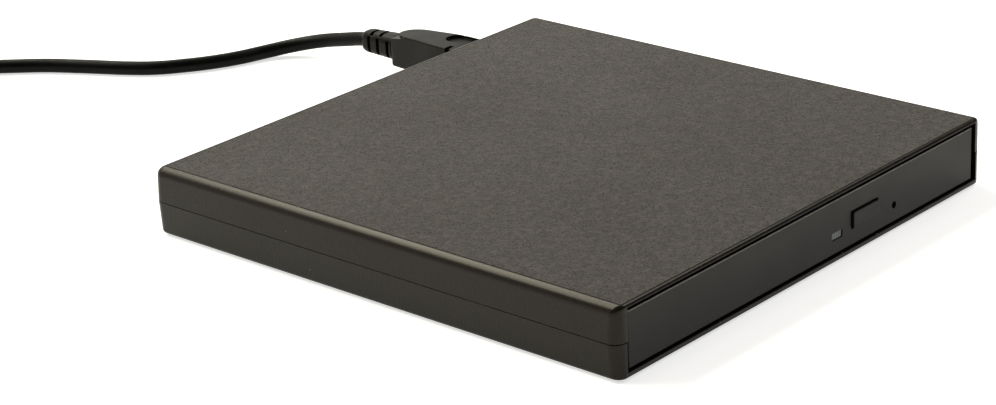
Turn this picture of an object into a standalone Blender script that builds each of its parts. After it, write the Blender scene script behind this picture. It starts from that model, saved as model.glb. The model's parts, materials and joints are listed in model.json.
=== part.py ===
# Slim disc drive in its own desk case, with a sliding tray and a captive length of cable.
# Metres, +Z up. The front is at -Y, and the origin is on the resting plane under the case's middle.

import math

import bmesh
import bpy
from mathutils import Matrix, Vector

# Clearances and cuts
GAP = 0.0003
OVERRUN = 0.002
ROUND_STEPS = 5
CIRCLE_SIDES = 24
SMALL_SIDES = 14
SMOOTH_ANGLE = math.radians(35)
MOST_CORNER_SHARE = 0.98

# Case
CASE_WIDTH = 0.142
CASE_DEPTH = 0.144
CASE_HEIGHT = 0.017
CASE_CORNER = 0.0029
CASE_TOP_FILLET = 0.0023
CASE_BOTTOM_FILLET = 0.0008
CASE_FRONT_TOP_FILLET = 0.0008
CASE_FRONT_BOTTOM_FILLET = 0.0003
CASE_TOP_DRAFT = 0.00025
CASE_BOTTOM_DRAFT = 0.0003
CASE_LEAST_CORNER = 0.0002
CASE_WALL = 0.0018
CASE_SKIN = 0.0013
CASE_INNER_CORNER = 0.0016
SEAM_HEIGHT = 0.0083
SEAM_GAP = 0.0002
FRONT_FRAME_DEPTH = 0.0025
FRONT_FRAME_SIDE = 0.0036
BAY_FLOOR_SINK = 0.00015
BAY_CEILING_RISE = 0.0004
BAY_TOP_RIGHT_ROOM = 0.0004
BAY_BOTTOM_LEFT_ROOM = 0.0003
BAY_BOTTOM_RIGHT_ROOM = 0.0009

# Feet and case screws
FOOT_RADIUS = 0.005
FOOT_DROP = 0.0006
FOOT_THICKNESS = 0.0009
FOOT_BEVEL = 0.0002
FOOT_INSET_X = 0.015
FOOT_INSET_Y = 0.014
BOSS_RADIUS = 0.0023
BOSS_INSET_X = 0.004
BOSS_INSET_FRONT = 0.012
BOSS_INSET_BACK = 0.010
SCREW_HEAD_RADIUS = 0.0016
SCREW_HEAD_HEIGHT = 0.0011
SCREW_SHANK_RADIUS = 0.0009
SCREW_LENGTH = 0.0125
SCREW_SINK = 0.0003
SCREW_CROSS_LENGTH = 0.0018
SCREW_CROSS_WIDTH = 0.0005
SCREW_CROSS_DEPTH = 0.0006

# Drive unit inside the case
DRIVE_SIDE_ROOM = 0.0052
DRIVE_HEIGHT = 0.0127
DRIVE_BACK_ROOM = 0.0026
DRIVE_STANDOFF = 0.001
BASE_SHEET = 0.0006
LID_SHEET = 0.0005
BASE_WALL_HEIGHT = 0.007
RIB_WIDTH = 0.002
RIB_SPACING_X = 0.090
RIB_FRONT_INSET = 0.014
RIB_BACK_INSET = 0.0074
STOP_WIDTH = 0.006
STOP_DEPTH = 0.0015
STOP_HEIGHT = 0.005
STOP_INSET_X = 0.009

# Bezel, on the tray's front
BEZEL_SIDE_CLEARANCE = 0.0005
BEZEL_HEIGHT = 0.0134
BEZEL_DROP = 0.0006
BEZEL_SETBACK = 0.0004
BEZEL_PLATE = 0.0018
BEZEL_RIM_DEPTH = 0.0026
BEZEL_RIM_WIDTH = 0.0012
BEZEL_BEVEL = 0.0003
BEZEL_CLEARANCE = 0.0006
BUTTON_CENTRE_X = 0.0209
BUTTON_CENTRE_HEIGHT = 0.00625
BUTTON_WIDTH = 0.0104
BUTTON_HEIGHT = 0.0039
BUTTON_CLEARANCE = 0.0003
BUTTON_PROUD = 0.0006
BUTTON_FLANGE_REACH = 0.0013
BUTTON_FLANGE_THICKNESS = 0.0008
BUTTON_STEM_WIDTH = 0.003
BUTTON_STEM_HEIGHT = 0.0016
BUTTON_STEM_LENGTH = 0.0007
BUTTON_TRAVEL = 0.0006
BUTTON_BEVEL = 0.00025
LED_CENTRE_X = 0.0097
LED_CENTRE_HEIGHT = 0.00445
LED_WIDTH = 0.0036
LED_HEIGHT = 0.0013
LED_RECESS = 0.0003
LED_PIPE_LENGTH = 0.0044
PINHOLE_X = 0.03305
PINHOLE_HEIGHT = 0.0043
PINHOLE_RADIUS = 0.0009

# Disc tray
DISC_CLEARANCE = 0.0002
TRAY_LIFT = 0.0008
TRAY_HEIGHT = 0.0083
TRAY_FLOOR_HEIGHT = 0.0057
TRAY_WING_HEIGHT = 0.0060
TRAY_SKIN = 0.0014
TRAY_WALL = 0.0015
TRAY_RIM = 0.0013
TRAY_SIDE_RIM = 0.0026
TRAY_END_ROOM = 0.0039
TRAY_SIDE_CLEARANCE = 0.0006
TRAY_TAIL = 0.0205
TRAY_BEVEL = 0.0004
RECESS_SIDES = 72
FINGER_NOTCH_RADIUS = 0.010
FINGER_NOTCH_OVERREACH = 0.0028
FINGER_NOTCH_DEPTH = 0.0006
FINGER_NOTCH_DEGREES = (-45.0, 135.0)

# Slide rails and their guides
TONGUE_REACH = 0.0011
TONGUE_HEIGHT = 0.0024
TONGUE_CENTRE_HEIGHT = 0.0026
RAIL_SHEET = 0.0005
RAIL_FRONT_INSET = 0.0036
RAIL_BACK_INSET = 0.0124
GUIDE_WEB = 0.0006
GUIDE_FLANGE = 0.0008
GUIDE_FRONT_INSET = 0.0006
GUIDE_BACK_INSET = 0.0014

# Spindle and its motor
MECHANISM_ANGLE = math.radians(225)
TURNTABLE_RADIUS = 0.015
TURNTABLE_THICKNESS = 0.0008
TURNTABLE_LIFT = 0.0003
ROTOR_INSET = 0.0015
ROTOR_HEIGHT = 0.0029
ROTOR_WALL = 0.0007
ROTOR_NECK_INSET = 0.003
HUB_RADIUS = 0.0074
HUB_HEIGHT = 0.0032
HUB_CHAMFER = 0.0012
RING_INNER_RADIUS = 0.0113
RING_OUTER_RADIUS = 0.0142
RING_THICKNESS = 0.0004
RING_GROOVE_DEPTH = 0.0005
PAWL_COUNT = 3
PAWL_WIDTH = 0.0022
PAWL_HEIGHT = 0.0008
PAWL_INNER_RADIUS = 0.0046
PAWL_OUTER_RADIUS = 0.0079
PAWL_TRAVEL = 0.0005
PAWL_DROP = 0.0008
SHAFT_RADIUS = 0.0008
STATOR_CLEARANCE = 0.0009
STATOR_BORE_RADIUS = 0.0024
STATOR_HEIGHT = 0.0016
STATOR_POLES = 9
STATOR_SLOT_WIDTH = 0.0012
STATOR_CORE_RADIUS = 0.0059
MOTOR_BASE_CLEARANCE = 0.0025
MOTOR_BASE_THICKNESS = 0.0009

# Traverse frame, sled and its drive, along a radius of the disc
FRAME_SHEET = 0.0008
FRAME_LIFT = 0.0005
FRAME_BACK = 0.018
FRAME_CORNER_INSET = 0.0022
FRAME_CHAMFER = 0.007
FRAME_END_RIM = 0.0024
FRAME_HALF_WIDTH = 0.020
FRAME_TAB_WIDTH = 0.010
FRAME_TAB_REACH = 0.005
FRAME_WINDOW_NEAR = 0.014
FRAME_CLEARANCE = 0.0008
GUIDE_SHAFT_RADIUS = 0.001
GUIDE_SHAFT_INSET = 0.004
GUIDE_SHAFT_NEAR = -0.003
GUIDE_SHAFT_END_INSET = 0.0065
GUIDE_SHAFT_RISE = 0.0018
SHAFT_BLOCK_WIDTH = 0.0036
SHAFT_BLOCK_LENGTH = 0.003
SHAFT_BLOCK_HEIGHT = 0.0034
SLED_REST = 0.024
SLED_NEAR = 0.008
SLED_FAR = 0.007
SLED_SHAFT_ROOM = 0.003
SLED_SCREW_ROOM = 0.003
SLED_DEPTH = 0.0004
SLED_HEIGHT = 0.0046
SLED_BRIDGE_THICKNESS = 0.0005
SLED_EAR_BACK = 0.005
SLED_EAR_FRONT = 0.001
SLED_BEVEL = 0.0003
LENS_POCKET_RADIUS = 0.0046
LENS_POCKET_DEPTH = 0.0018
LENS_HOLDER_RADIUS = 0.0042
LENS_HOLDER_HEIGHT = 0.0014
LENS_RADIUS = 0.0022
LENS_HEIGHT = 0.0006
LENS_FOCUS_TRAVEL = 0.0003
COVER_SHEET = 0.0004
COVER_LEDGE = 0.0016
COVER_HUB_RADIUS = 0.0156
COVER_SLOT_HALF_WIDTH = 0.006
COVER_INSET = 0.0006
LENS_HOOD_LENGTH = 0.0102
LENS_HOOD_HEIGHT = 0.0005
LEAD_SCREW_RADIUS = 0.0011
LEAD_SCREW_GROOVE = 0.0002
LEAD_SCREW_PITCH = 0.003
LEAD_SCREW_INSET = 0.0045
LEAD_SCREW_NEAR = 0.0132
LEAD_SCREW_STEPS_A_TURN = 6
LEAD_SCREW_SIDES = 8
SCREW_BLOCK_NEAR = 0.0125
SCREW_BLOCK_LENGTH = 0.0022
SLED_MOTOR_RADIUS = 0.0020
SLED_MOTOR_END_INSET = 0.0078
SLED_MOTOR_LENGTH = 0.0055
DAMPER_RADIUS = 0.0026
DAMPER_NECK_RADIUS = 0.0015
DAMPER_BORE_RADIUS = 0.0010
DAMPER_HEAD_HEIGHT = 0.0015
DAMPER_PIN_RADIUS = 0.0007
DAMPER_SHELF_LENGTH = 0.0065

# Tray electronics and latch
TRAY_BOARD_LEFT = 0.002
TRAY_BOARD_RIGHT = 0.036
TRAY_BOARD_FRONT_INSET = 0.0035
TRAY_BOARD_DEPTH = 0.009
TRAY_BOARD_LIFT = 0.0007
TRAY_BOARD_THICKNESS = 0.0008
SWITCH_WIDTH = 0.006
SWITCH_DEPTH = 0.0035
SWITCH_HEIGHT = 0.0022
SWITCH_PLUNGER_REACH = 0.0006
LAMP_DEPTH = 0.0012
SOLENOID_ROOM = 0.0065
SOLENOID_WIDTH = 0.0105
SOLENOID_FRONT_INSET = 0.0165
SOLENOID_DEPTH = 0.008
SOLENOID_HEIGHT = 0.0034
SOLENOID_ROD_RADIUS = 0.0008
SOLENOID_ROD_LENGTH = 0.0016
LATCH_POST_INSET_X = 0.0163
LATCH_POST_INSET = 0.0164
LATCH_POST_RADIUS = 0.0011
LATCH_POST_HEIGHT = 0.0036
LATCH_FOOT_RADIUS = 0.0006
LATCH_PIVOT_INSET_X = 0.005
LATCH_PIVOT_BACK = 0.0053
LATCH_BOSS_RADIUS = 0.0022
LATCH_BORE_RADIUS = 0.0012
LATCH_PIN_RADIUS = 0.0009
LATCH_ARM_WIDTH = 0.0026
LATCH_THICKNESS = 0.0014
LATCH_NOSE_LENGTH = 0.002
LATCH_NOSE_REACH = 0.0063
LATCH_SWING = math.radians(20)
LATCH_CHANNEL_WIDTH = 0.0036

# Drive electronics and ejector
MAIN_BOARD_LEFT_ROOM = 0.0274
MAIN_BOARD_RIGHT_ROOM = 0.0074
MAIN_BOARD_DEPTH = 0.019
MAIN_BOARD_BACK_INSET = 0.0016
MAIN_BOARD_THICKNESS = 0.001
CHIP_WIDTH = 0.014
CHIP_INSET = 0.014
CHIP_HEIGHT = 0.0012
DRIVE_PLUG_CENTRE_X = -0.010
DRIVE_PLUG_WIDTH = 0.034
DRIVE_PLUG_DEPTH = 0.0074
DRIVE_PLUG_HEIGHT = 0.0032
DRIVE_PLUG_WALL = 0.0008
FLEX_WIDTH = 0.009
FLEX_THICKNESS = 0.0002
FLEX_LEFT = 0.029
FLEX_LENGTH = 0.062
EJECTOR_INSET_X = 0.0134
EJECTOR_HEIGHT = 0.0027
EJECTOR_ROD_RADIUS = 0.0009
EJECTOR_HEAD_RADIUS = 0.0018
EJECTOR_HEAD_LENGTH = 0.0015
EJECTOR_LENGTH = 0.0195
EJECTOR_SPRING_RADIUS = 0.0016
EJECTOR_WIRE_RADIUS = 0.00018
EJECTOR_SPRING_LENGTH = 0.012
EJECTOR_SPRING_TURNS = 12
EJECTOR_BRACKET_WIDTH = 0.006
EJECTOR_BRACKET_DEPTH = 0.0015

# Bridge board and its port, behind the drive unit
BRIDGE_LEFT = -0.040
BRIDGE_RIGHT_ROOM = 0.0112
BRIDGE_DEPTH = 0.0096
BRIDGE_THICKNESS = 0.0012
BRIDGE_BACK_CLEARANCE = 0.0006
BRIDGE_SOCKET_DEPTH = 0.0045
BRIDGE_TONGUE_REACH = 0.0038
BRIDGE_TONGUE_THICKNESS = 0.0008
BRIDGE_CHIP_SHARE = 0.612
BRIDGE_CHIP_WIDTH = 0.0055
BRIDGE_CHIP_HEIGHT = 0.0011
BOARD_POST_RADIUS = 0.0018
BOARD_POST_SHARES = (0.06, 0.72)
PORT_INSET = 0.022
PORT_RISE = 0.0082
PORT_WIDTH = 0.0077
PORT_HEIGHT = 0.0039
PORT_DEPTH = 0.0090
PORT_WALL = 0.0004
PORT_INSERT_DEPTH = 0.0026
PORT_TONGUE_REACH = 0.0040
PORT_TONGUE_HEIGHT = 0.0009
PORT_WINDOW_MARGIN = 0.0006

# Cable and what is on it
CABLE_RADIUS = 0.002
PLUG_WIDTH = 0.0114
PLUG_HEIGHT = 0.0095
PLUG_LENGTH = 0.0305
PLUG_STRAIGHT_SHARE = 0.3
PLUG_BACK_WIDTH = 0.0072
PLUG_BACK_HEIGHT = 0.0083
PLUG_TAIL = 0.0046
PLUG_CORNER = 0.0014
PLUG_TIP_BEVEL = 0.0006
PLUG_SHOULDER = 0.0030
PLUG_NOSE_LENGTH = 0.0060
PLUG_NOSE_WALL = 0.0005
RELIEF_SINK = 0.0007
RELIEF_FRONT_SIZE = 0.0067
RELIEF_BACK_SIZE = 0.0055
RELIEF_CORNER = 0.0017
RELIEF_LENGTH = 0.0126
RELIEF_GROOVES = 3
RELIEF_GROOVE_DEPTH = 0.0009
CABLE_STEP = 0.008
COIL_TURNS = 3.25
COIL_OUTER_RADIUS = 0.0245
COIL_PITCH = 0.0045
COIL_POINTS_A_TURN = 24
COIL_CENTRE = (-0.0531, 0.2087)
COIL_START_DEGREES = 38.3
COIL_LEAD = 0.006
COIL_TAIL = 0.026
COIL_LEAST_GAP = 0.0004
COIL_CLIMB_TURNS = 0.5
CABLE_BEND_STEPS = 6
USB_PLUG_WIDTH = 0.0158
USB_PLUG_HEIGHT = 0.0079
USB_PLUG_LENGTH = 0.027
USB_PLUG_NECK = 0.009
USB_PLUG_CORNER = 0.0016
USB_NECK_GROWTH = 0.0009
USB_SHOULDER_INSET = 0.0032
USB_SHELL_WIDTH = 0.0120
USB_SHELL_HEIGHT = 0.0045
USB_SHELL_LENGTH = 0.0188
USB_SHELL_WALL = 0.0004
USB_MOUTH_DEPTH = 0.0090
USB_INSERT_HEIGHT = 0.0018

# The cable's route from the strain relief, chosen by hand, up to where it leaves the view
CABLE_ROUTE = (
    (0.0490, 0.1210, 0.00725),
    (0.0490, 0.1240, 0.00665),
    (0.0488, 0.1275, 0.0060),
    (0.0483, 0.1310, 0.0053),
    (0.0474, 0.1343, 0.00455),
    (0.0459, 0.1375, 0.00385),
    (0.0438, 0.1404, 0.0032),
    (0.0410, 0.1430, 0.00265),
    (0.0388, 0.1447, 0.0023),
    (0.0357, 0.1463, 0.0020),
    (0.0305, 0.1480, 0.0020),
    (0.0249, 0.1504, 0.0020),
    (0.0201, 0.1535, 0.0020),
    (0.0154, 0.1568, 0.0020),
    (0.0110, 0.1605, 0.0020),
    (0.0074, 0.1649, 0.0020),
    (0.0043, 0.1699, 0.0020),
    (0.0015, 0.1753, 0.0020),
    (-0.0014, 0.1807, 0.0020),
    (-0.0042, 0.1860, 0.0020),
    (-0.0074, 0.1911, 0.0020),
    (-0.0110, 0.1957, 0.0020),
    (-0.0146, 0.2002, 0.0020),
)

# Levels, from the resting plane upwards
CASE_BASE_Z = FOOT_DROP
CASE_TOP_Z = CASE_BASE_Z + CASE_HEIGHT
SEAM_Z = CASE_BASE_Z + SEAM_HEIGHT
FLOOR_Z = CASE_BASE_Z + CASE_SKIN
CEILING_Z = CASE_TOP_Z - CASE_SKIN
DRIVE_Z = FLOOR_Z + DRIVE_STANDOFF
DRIVE_TOP_Z = DRIVE_Z + DRIVE_HEIGHT
BASE_TOP_Z = DRIVE_Z + BASE_SHEET
LID_UNDER_Z = DRIVE_TOP_Z - LID_SHEET
BASE_WALL_Z = DRIVE_Z + BASE_WALL_HEIGHT
BEZEL_Z = DRIVE_Z - BEZEL_DROP
BEZEL_TOP_Z = BEZEL_Z + BEZEL_HEIGHT
TRAY_Z = BASE_TOP_Z + TRAY_LIFT
TRAY_TOP_Z = TRAY_Z + TRAY_HEIGHT
TRAY_FLOOR_Z = TRAY_Z + TRAY_FLOOR_HEIGHT
TRAY_WING_Z = TRAY_Z + TRAY_WING_HEIGHT
TRAY_CEILING_Z = TRAY_FLOOR_Z - TRAY_SKIN
TONGUE_Z = TRAY_Z + TONGUE_CENTRE_HEIGHT
COVER_TOP_Z = TRAY_FLOOR_Z - GAP / 3
COVER_UNDER_Z = COVER_TOP_Z - COVER_SHEET
FRAME_Z = BASE_TOP_Z + FRAME_LIFT
FRAME_TOP_Z = FRAME_Z + FRAME_SHEET
GUIDE_SHAFT_Z = FRAME_TOP_Z + GUIDE_SHAFT_RISE
BUTTON_Z = BEZEL_Z + BUTTON_CENTRE_HEIGHT
LED_Z = BEZEL_Z + LED_CENTRE_HEIGHT
PINHOLE_Z = BEZEL_Z + PINHOLE_HEIGHT
PORT_Z = CASE_BASE_Z + PORT_RISE
RELIEF_Z = PORT_Z - RELIEF_SINK
BRIDGE_TOP_Z = PORT_Z - PORT_HEIGHT / 2 - GAP
BRIDGE_Z = BRIDGE_TOP_Z - BRIDGE_THICKNESS
MAIN_BOARD_Z = BASE_TOP_Z + GAP
MAIN_BOARD_TOP_Z = MAIN_BOARD_Z + MAIN_BOARD_THICKNESS
DRIVE_PLUG_Z = MAIN_BOARD_TOP_Z + GAP

# Stations from front to back
FRONT_Y = -CASE_DEPTH / 2
BACK_Y = CASE_DEPTH / 2
INNER_BACK_Y = BACK_Y - CASE_WALL
BEZEL_FRONT_Y = FRONT_Y + BEZEL_SETBACK
BEZEL_INNER_Y = BEZEL_FRONT_Y + BEZEL_PLATE
BEZEL_BACK_Y = BEZEL_INNER_Y + BEZEL_RIM_DEPTH
TRAY_FRONT_Y = BEZEL_INNER_Y + GAP
DRIVE_FRONT_Y = BEZEL_BACK_Y + BEZEL_CLEARANCE
BRIDGE_BACK_Y = INNER_BACK_Y - BRIDGE_BACK_CLEARANCE
BRIDGE_FRONT_Y = BRIDGE_BACK_Y - BRIDGE_DEPTH
DRIVE_BACK_Y = BRIDGE_FRONT_Y - DRIVE_BACK_ROOM
MAIN_BOARD_BACK_Y = DRIVE_BACK_Y - MAIN_BOARD_BACK_INSET
MAIN_BOARD_FRONT_Y = MAIN_BOARD_BACK_Y - MAIN_BOARD_DEPTH
BUTTON_BACK_Y = TRAY_FRONT_Y + BUTTON_FLANGE_THICKNESS
SWITCH_FACE_Y = BUTTON_BACK_Y + BUTTON_STEM_LENGTH + BUTTON_TRAVEL + GAP
PLUG_FRONT_Y = BACK_Y + GAP
RELIEF_Y = PLUG_FRONT_Y + PLUG_LENGTH + GAP
CABLE_START_Y = RELIEF_Y + RELIEF_LENGTH + GAP

# Half widths, from the case's side inwards
CASE_INNER_X = CASE_WIDTH / 2 - CASE_WALL
BAY_HALF_WIDTH = CASE_WIDTH / 2 - FRONT_FRAME_SIDE
BEZEL_HALF_WIDTH = BAY_HALF_WIDTH - BEZEL_SIDE_CLEARANCE
PORT_X = CASE_WIDTH / 2 - PORT_INSET
BRIDGE_RIGHT = CASE_INNER_X - BRIDGE_RIGHT_ROOM
DRIVE_HALF_WIDTH = CASE_INNER_X - DRIVE_SIDE_ROOM
STOP_X = DRIVE_HALF_WIDTH - STOP_INSET_X
BASE_INNER_X = DRIVE_HALF_WIDTH - BASE_SHEET
MAIN_BOARD_LEFT = MAIN_BOARD_LEFT_ROOM - BASE_INNER_X
MAIN_BOARD_RIGHT = BASE_INNER_X - MAIN_BOARD_RIGHT_ROOM
EJECTOR_X = EJECTOR_INSET_X - BASE_INNER_X
GUIDE_OUTER_X = BASE_INNER_X - GAP
GUIDE_INNER_X = GUIDE_OUTER_X - GUIDE_WEB
RAIL_OUTER_X = GUIDE_INNER_X - GAP
RAIL_INNER_X = RAIL_OUTER_X - RAIL_SHEET
TONGUE_X = RAIL_INNER_X - GAP
TRAY_BODY_X = TONGUE_X - TONGUE_REACH
FLANGE_EDGE_X = TRAY_BODY_X + GAP
LATCH_POST_X = TRAY_BODY_X - LATCH_POST_INSET_X
LATCH_PIVOT_X = LATCH_POST_X - LATCH_PIVOT_INSET_X
SOLENOID_RIGHT = LATCH_PIVOT_X - SOLENOID_ROOM
TRAY_WING_X = BASE_INNER_X - TRAY_SIDE_CLEARANCE
RAIL_HALF_HEIGHT = TONGUE_HEIGHT / 2 + GAP + RAIL_SHEET
GUIDE_HALF_HEIGHT = RAIL_HALF_HEIGHT + GAP + GUIDE_FLANGE

# The disc, as large as the tray's width and length leave room for, and its recess
WIDEST_RECESS = TRAY_WING_X - TRAY_SIDE_RIM
LONGEST_RECESS = (DRIVE_BACK_Y - TRAY_END_ROOM - TRAY_FRONT_Y) / 2 - TRAY_RIM
DISC_RADIUS = min(WIDEST_RECESS, LONGEST_RECESS) - DISC_CLEARANCE
RECESS_RADIUS = DISC_RADIUS + DISC_CLEARANCE
DISC_Y = TRAY_FRONT_Y + TRAY_RIM + RECESS_RADIUS
TRAY_BACK_Y = DISC_Y + RECESS_RADIUS + TRAY_RIM
TRAY_BODY_BACK_Y = TRAY_BACK_Y - TRAY_TAIL

# Places across the traverse frame
GUIDE_SHAFT_SPREAD = FRAME_HALF_WIDTH - GUIDE_SHAFT_INSET
LEAD_SCREW_OFFSET = GUIDE_SHAFT_SPREAD - LEAD_SCREW_INSET
SLED_LEFT = GUIDE_SHAFT_SPREAD - SLED_SHAFT_ROOM
SLED_RIGHT = LEAD_SCREW_OFFSET - SLED_SCREW_ROOM
MOTOR_BASE_RADIUS = GUIDE_SHAFT_SPREAD - MOTOR_BASE_CLEARANCE
ROTOR_RADIUS = MOTOR_BASE_RADIUS - ROTOR_INSET
ROTOR_NECK_RADIUS = ROTOR_RADIUS - ROTOR_NECK_INSET
STATOR_RADIUS = ROTOR_RADIUS - ROTOR_WALL - STATOR_CLEARANCE

# Places along the traverse frame, outwards from the spindle
FRAME_CORNER_REACH = (RECESS_RADIUS - FRAME_CORNER_INSET) * math.sqrt(2)
FRAME_REACH = FRAME_CORNER_REACH + FRAME_CHAMFER - FRAME_HALF_WIDTH
FRAME_WINDOW_FAR = FRAME_REACH - FRAME_END_RIM
GUIDE_SHAFT_FAR = FRAME_REACH - GUIDE_SHAFT_END_INSET
SLED_MOTOR_NEAR = FRAME_REACH - SLED_MOTOR_END_INSET
SLED_TRAVEL = FRAME_WINDOW_FAR - 2 * FRAME_CLEARANCE - SLED_FAR - SLED_REST
COVER_RADIUS = RECESS_RADIUS - COVER_INSET
COVER_SLOT_NEAR = RECESS_RADIUS - LENS_HOOD_LENGTH
FINGER_NOTCH_REACH = RECESS_RADIUS + FINGER_NOTCH_OVERREACH
COVER_SLOT_FAR = SLED_REST + SLED_TRAVEL + LENS_HOLDER_RADIUS + 2 * FRAME_CLEARANCE


def clear_scene():
    for item in list(bpy.data.objects):
        bpy.data.objects.remove(item, do_unlink=True)


def material(name, colour, roughness, metallic=0.0):
    made = bpy.data.materials.new(name)
    made.use_nodes = True
    shader = made.node_tree.nodes["Principled BSDF"]
    shader.inputs["Base Color"].default_value = (*colour, 1.0)
    shader.inputs["Roughness"].default_value = roughness
    shader.inputs["Metallic"].default_value = metallic
    return made


# Each mesh is made about its own place, and the object carries that place.
def add(name, mesh, finish=None, place=(0, 0, 0), parent=None):
    piece = bpy.data.objects.new(name, mesh)
    piece.location = place
    piece.parent = parent
    bpy.context.scene.collection.objects.link(piece)
    if finish is not None:
        mesh.materials.append(finish)
        mesh.shade_smooth()
        mesh.set_sharp_from_angle(angle=SMOOTH_ANGLE)
    return piece


def mesh_from(name, points, faces):
    mesh = bpy.data.meshes.new(name)
    mesh.from_pydata([tuple(point) for point in points], [], faces)
    shape = bmesh.new()
    shape.from_mesh(mesh)
    bmesh.ops.recalc_face_normals(shape, faces=shape.faces)
    shape.to_mesh(mesh)
    shape.free()
    return mesh


# A closed solid through rings of equal length, with flat ends.
def loft_mesh(name, rings):
    count = len(rings[0])
    points = [point for ring in rings for point in ring]
    faces = [tuple(range(count))]
    for row in range(len(rings) - 1):
        for side in range(count):
            after = (side + 1) % count
            near = row * count
            far = near + count
            faces.append((near + side, near + after, far + after, far + side))
    last = (len(rings) - 1) * count
    faces.append(tuple(range(last, last + count)))
    return mesh_from(name, points, faces)


def rounded_outline(half_x, half_y, corner, steps=ROUND_STEPS):
    corner = min(corner, half_x * MOST_CORNER_SHARE, half_y * MOST_CORNER_SHARE)
    outline = []
    for quarter, (sign_x, sign_y) in enumerate(((1, 1), (-1, 1), (-1, -1), (1, -1))):
        for step in range(steps + 1):
            angle = math.pi / 2 * (quarter + step / steps)
            outline.append(
                (
                    sign_x * (half_x - corner) + corner * math.cos(angle),
                    sign_y * (half_y - corner) + corner * math.sin(angle),
                )
            )
    return outline


def prism_mesh(name, outline, low, high):
    return loft_mesh(name, [[(x, y, z) for x, y in outline] for z in (low, high)])


def box(name, low, high, finish=None, parent=None):
    centre = [(a + b) / 2 for a, b in zip(low, high)]
    half = [(b - a) / 2 for a, b in zip(low, high)]
    outline = [(-half[0], -half[1]), (half[0], -half[1]), (half[0], half[1]), (-half[0], half[1])]
    return add(name, prism_mesh(name, outline, -half[2], half[2]), finish, centre, parent)


# A profile of (radius, height) points turned about Z, ending on the axis where a radius is zero.
def lathe_mesh(name, profile, sides=CIRCLE_SIDES):
    points = []
    rows = []
    for radius, height in profile:
        if radius == 0:
            rows.append([len(points)] * sides)
            points.append((0, 0, height))
            continue
        rows.append(range(len(points), len(points) + sides))
        for side in range(sides):
            angle = 2 * math.pi * side / sides
            points.append((radius * math.cos(angle), radius * math.sin(angle), height))
    faces = []
    for near, far in zip(rows, rows[1:]):
        for side in range(sides):
            after = (side + 1) % sides
            corners = [near[side], near[after], far[after], far[side]]
            faces.append(tuple(dict.fromkeys(corners)))
    return mesh_from(name, points, faces)


# A turned piece with a hole: the profile runs round the wall's section and closes on itself.
def ring_mesh(name, profile, sides=CIRCLE_SIDES):
    closed = list(profile) + [profile[0]]
    mesh = lathe_mesh(name, closed, sides)
    shape = bmesh.new()
    shape.from_mesh(mesh)
    bmesh.ops.remove_doubles(shape, verts=shape.verts, dist=GAP / 100)
    bmesh.ops.recalc_face_normals(shape, faces=shape.faces)
    shape.to_mesh(mesh)
    shape.free()
    return mesh


def rod_mesh(name, radius, low, high, sides=SMALL_SIDES):
    return lathe_mesh(name, [(0, low), (radius, low), (radius, high), (0, high)], sides)


def rod(name, radius, place, low, high, finish=None, sides=SMALL_SIDES, parent=None):
    return add(name, rod_mesh(name, radius, low, high, sides), finish, place, parent)


def helper(piece):
    piece.hide_render = True
    piece.display_type = "WIRE"
    return piece


def boolean(piece, other, operation):
    modifier = piece.modifiers.new(operation.title(), "BOOLEAN")
    modifier.operation = operation
    modifier.object = helper(other)
    return piece


def cut(piece, *cutters):
    for cutter in cutters:
        boolean(piece, cutter, "DIFFERENCE")
    return piece


def join(piece, *others):
    for other in others:
        boolean(piece, other, "UNION")
    return piece


def soften(piece, width, segments=2):
    modifier = piece.modifiers.new("Bevel", "BEVEL")
    modifier.width = width
    modifier.segments = segments
    modifier.limit_method = "ANGLE"
    return piece


def mirrored(places):
    return [(sign * x, y) for x, y in places for sign in (-1, 1)]


# Places that two or more pieces share

def boss_places():
    x = CASE_WIDTH / 2 - BOSS_INSET_X
    return mirrored([(x, FRONT_Y + BOSS_INSET_FRONT), (x, BACK_Y - BOSS_INSET_BACK)])


def foot_places():
    x = CASE_WIDTH / 2 - FOOT_INSET_X
    return mirrored([(x, FRONT_Y + FOOT_INSET_Y), (x, BACK_Y - FOOT_INSET_Y)])


def board_post_places():
    y = (BRIDGE_FRONT_Y + BRIDGE_BACK_Y) / 2
    return [(BRIDGE_LEFT + share * (BRIDGE_RIGHT - BRIDGE_LEFT), y) for share in BOARD_POST_SHARES]


def mechanism_frame():
    made = bpy.data.objects.new("mechanism_origin", None)
    made.location = (0, DISC_Y, 0)
    made.rotation_euler = (0, 0, MECHANISM_ANGLE)
    bpy.context.scene.collection.objects.link(made)
    return made


# Case

# One outline for each level, drawn in at the sides and back by one inset and at the front by another.
def case_rings(levels):
    rings = []
    for inset, front_inset, height in levels:
        outline = rounded_outline(
            CASE_WIDTH / 2 - inset,
            (CASE_DEPTH - inset - front_inset) / 2,
            max(CASE_CORNER - inset, CASE_LEAST_CORNER),
        )
        rings.append([(x, y + (front_inset - inset) / 2, height) for x, y in outline])
    return rings


# Levels of a round edge that is wide at the sides and back and narrow at the front.
def fillet_levels(radius, front_radius, inset, height, direction):
    levels = []
    for step in range(1, ROUND_STEPS + 1):
        angle = math.pi / 2 * step / ROUND_STEPS
        depth = radius * (1 - math.sin(angle))
        rise = max(front_radius - depth, 0)
        front_inset = front_radius - math.sqrt(front_radius**2 - rise**2)
        levels.append((inset + radius * (1 - math.cos(angle)), front_inset, height - direction * depth))
    return levels


def cavity(name, low, high):
    outline = rounded_outline(
        CASE_INNER_X,
        (INNER_BACK_Y - FRONT_Y - FRONT_FRAME_DEPTH) / 2,
        CASE_INNER_CORNER,
        ROUND_STEPS - 2,
    )
    place = (0, (INNER_BACK_Y + FRONT_Y + FRONT_FRAME_DEPTH) / 2, 0)
    return add(name, prism_mesh(name, outline, low, high), place=place)


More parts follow.
